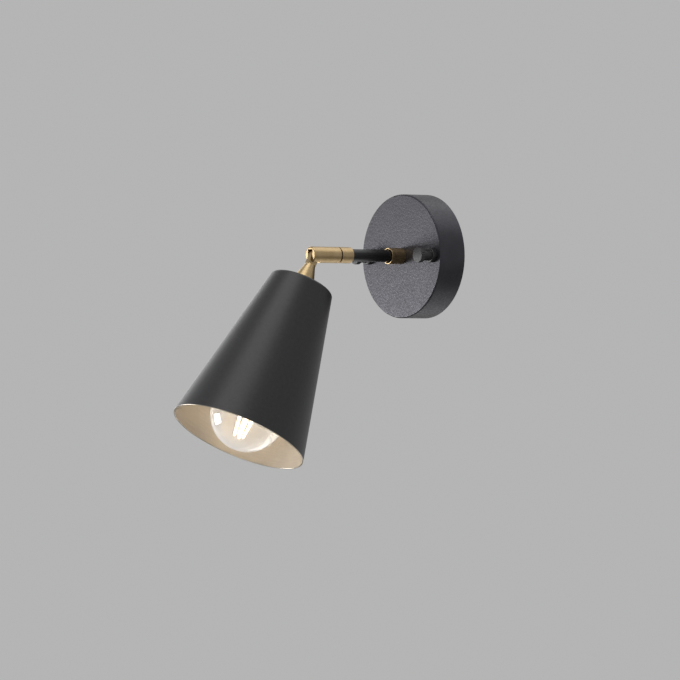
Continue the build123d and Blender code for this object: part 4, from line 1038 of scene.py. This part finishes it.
lock_nuts = [nut(7.0, 2.05, 2.0, 5.2, (False, True), IN_ARM, (side * STUD_X, 0.0))
             for side in (-1, 1)]
piece("stud_lock_nuts_cut", "wall_side", [zinc], lock_nuts, "stud_lock_nuts")
piece("arm_lock_nut_cut", "wall_side", [zinc],
      nut(14.0, TUBE_HOLE, 19.8, 22.8, (True, False), IN_ARM), "arm_lock_nut")
piece("shade_nut_cut", "head", [zinc],
      nut(14.0, TUBE_HOLE, CONE_END + 2.0, CONE_END + 5.0, (False, True), IN_HEAD), "shade_nut")

# %% [markdown]
# Pressed and moulded pieces have no knife edges: the die or the mould leaves each edge a little
# round, and that is where the light catches. These solids keep their shape. A merged copy of each
# gets a live Bevel of a tenth of a millimetre or two, where faces meet at more than 35 degrees.

# %% Softened edges
SAME_POINT = 0.002
SAME_PLANE = radians(0.5)
SHARP = radians(35)
SPARE_DATA = ("custom_normal", "sharp_edge", "sharp_face")


def softened(name, body, finish, source, width):
    """Copies a solid's mesh, joins its loose triangles, and rounds its edges with a Bevel."""
    mesh = nodes[source].data.copy()
    mesh.name = name
    work = bmesh.new()
    work.from_mesh(mesh)
    bmesh.ops.remove_doubles(work, verts=work.verts, dist=SAME_POINT * MM)
    bmesh.ops.dissolve_limit(work, angle_limit=SAME_PLANE, verts=work.verts, edges=work.edges)
    work.to_mesh(mesh)
    work.free()
    for loose in [a.name for a in mesh.attributes if a.name in SPARE_DATA]:
        mesh.attributes.remove(mesh.attributes[loose])
    mesh.materials.clear()
    mesh.materials.append(finish)
    mesh.polygons.foreach_set("use_smooth", np.ones(len(mesh.polygons), bool))
    bevel = stand_in(name, mesh, body, source).modifiers.new("edges", "BEVEL")
    bevel.width = width * MM
    bevel.segments = 2
    bevel.limit_method = "ANGLE"
    bevel.angle_limit = SHARP
    bevel.harden_normals = True
    print(f"{name}: {len(mesh.polygons)} faces before the bevel of {width} mm")


softened("wall_bracket_pressed", "wall_side", zinc, "wall_bracket", 0.25)
softened("terminal_block_moulded", "wall_side", nylon, "terminal_block", 0.2)
softened("earth_tag_pressed", "wall_side", tinned_copper, "earth_tag", 0.08)
softened("centre_contact_pressed", "head", plain_head_brass, "centre_contact", 0.08)
softened("bulb_driver_board", "bulb", board, "bulb_driver", 0.12)

# %% [markdown]
# The other solids are right as they are, because their faces are exact: they only get their
# finishes.

# %% Finishes for the solids that stay
DRESS = {
    canopy_coat: ["canopy"],
    tube_coat: ["arm_tube"],
    holder_coat: ["holder_cap"],
    bush_nylon: ["tube_bush"],
    phenolic: ["holder_body"],
    porcelain: ["holder_base"],
    arm_brass: ["swivel_base", "swivel_barrel", "pivot_screw"],
    brass_painted_shade_head: ["knuckle_cone"],
    plain_arm_brass: ["terminal_inserts"],
    plain_head_brass: ["holder_pillars", "earth_pillar"],
    zinc: ["terminal_screws", "block_screw", "earth_washer", "earth_screw", "lock_washer",
           "stop_pin", "head_nipple", "shade_washer", "holder_grub_screw", "holder_screws"],
    spring_steel: ["swivel_clip"],
    fibre: ["swivel_washer", "knuckle_washers"],
    live_pvc: ["live_lead", "swivel_live_lead", "head_live_lead"],
    neutral_pvc: ["neutral_lead", "swivel_neutral_lead", "head_neutral_lead"],
    arm_earth_pvc: ["earth_lead", "swivel_earth_lead"],
    head_earth_pvc: ["head_earth_lead"],
}
for finish, names in DRESS.items():
    for name in names:
        nodes[name].material_slots[0].link = "OBJECT"
        nodes[name].material_slots[0].material = finish
bare = [name for name in nodes if not nodes[name].hide_render
        and nodes[name].material_slots[0].material not in DRESS]
print("solids shown without a finish of their own:", bare)

# %% [markdown]
# The bulb is lit. Its filaments glow by themselves, but they are too thin to light the shade
# without grain in the picture, so a small warm point lamp at the globe's middle does that. It
# rides with the bulb.

# %% Light in the bulb
GLOW_POWER = 0.058
GLOW_RADIUS = 10.0
GLOW_AT = GLOBE_AT + 2.0
glow = bpy.data.objects.new("filament_glow", bpy.data.lights.new("filament_glow", "POINT"))
glow.data.energy = GLOW_POWER
glow.data.color = (1.0, 0.92, 0.82)
glow.data.shadow_soft_size = GLOW_RADIUS * MM
glow.location = (placed(np.array([0, 0, GLOW_AT]), IN_HEAD) * MM).tolist()
scene.collection.objects.link(glow)
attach(glow, "bulb")
print("glow stands at", np.round(np.array(glow.location), 4))
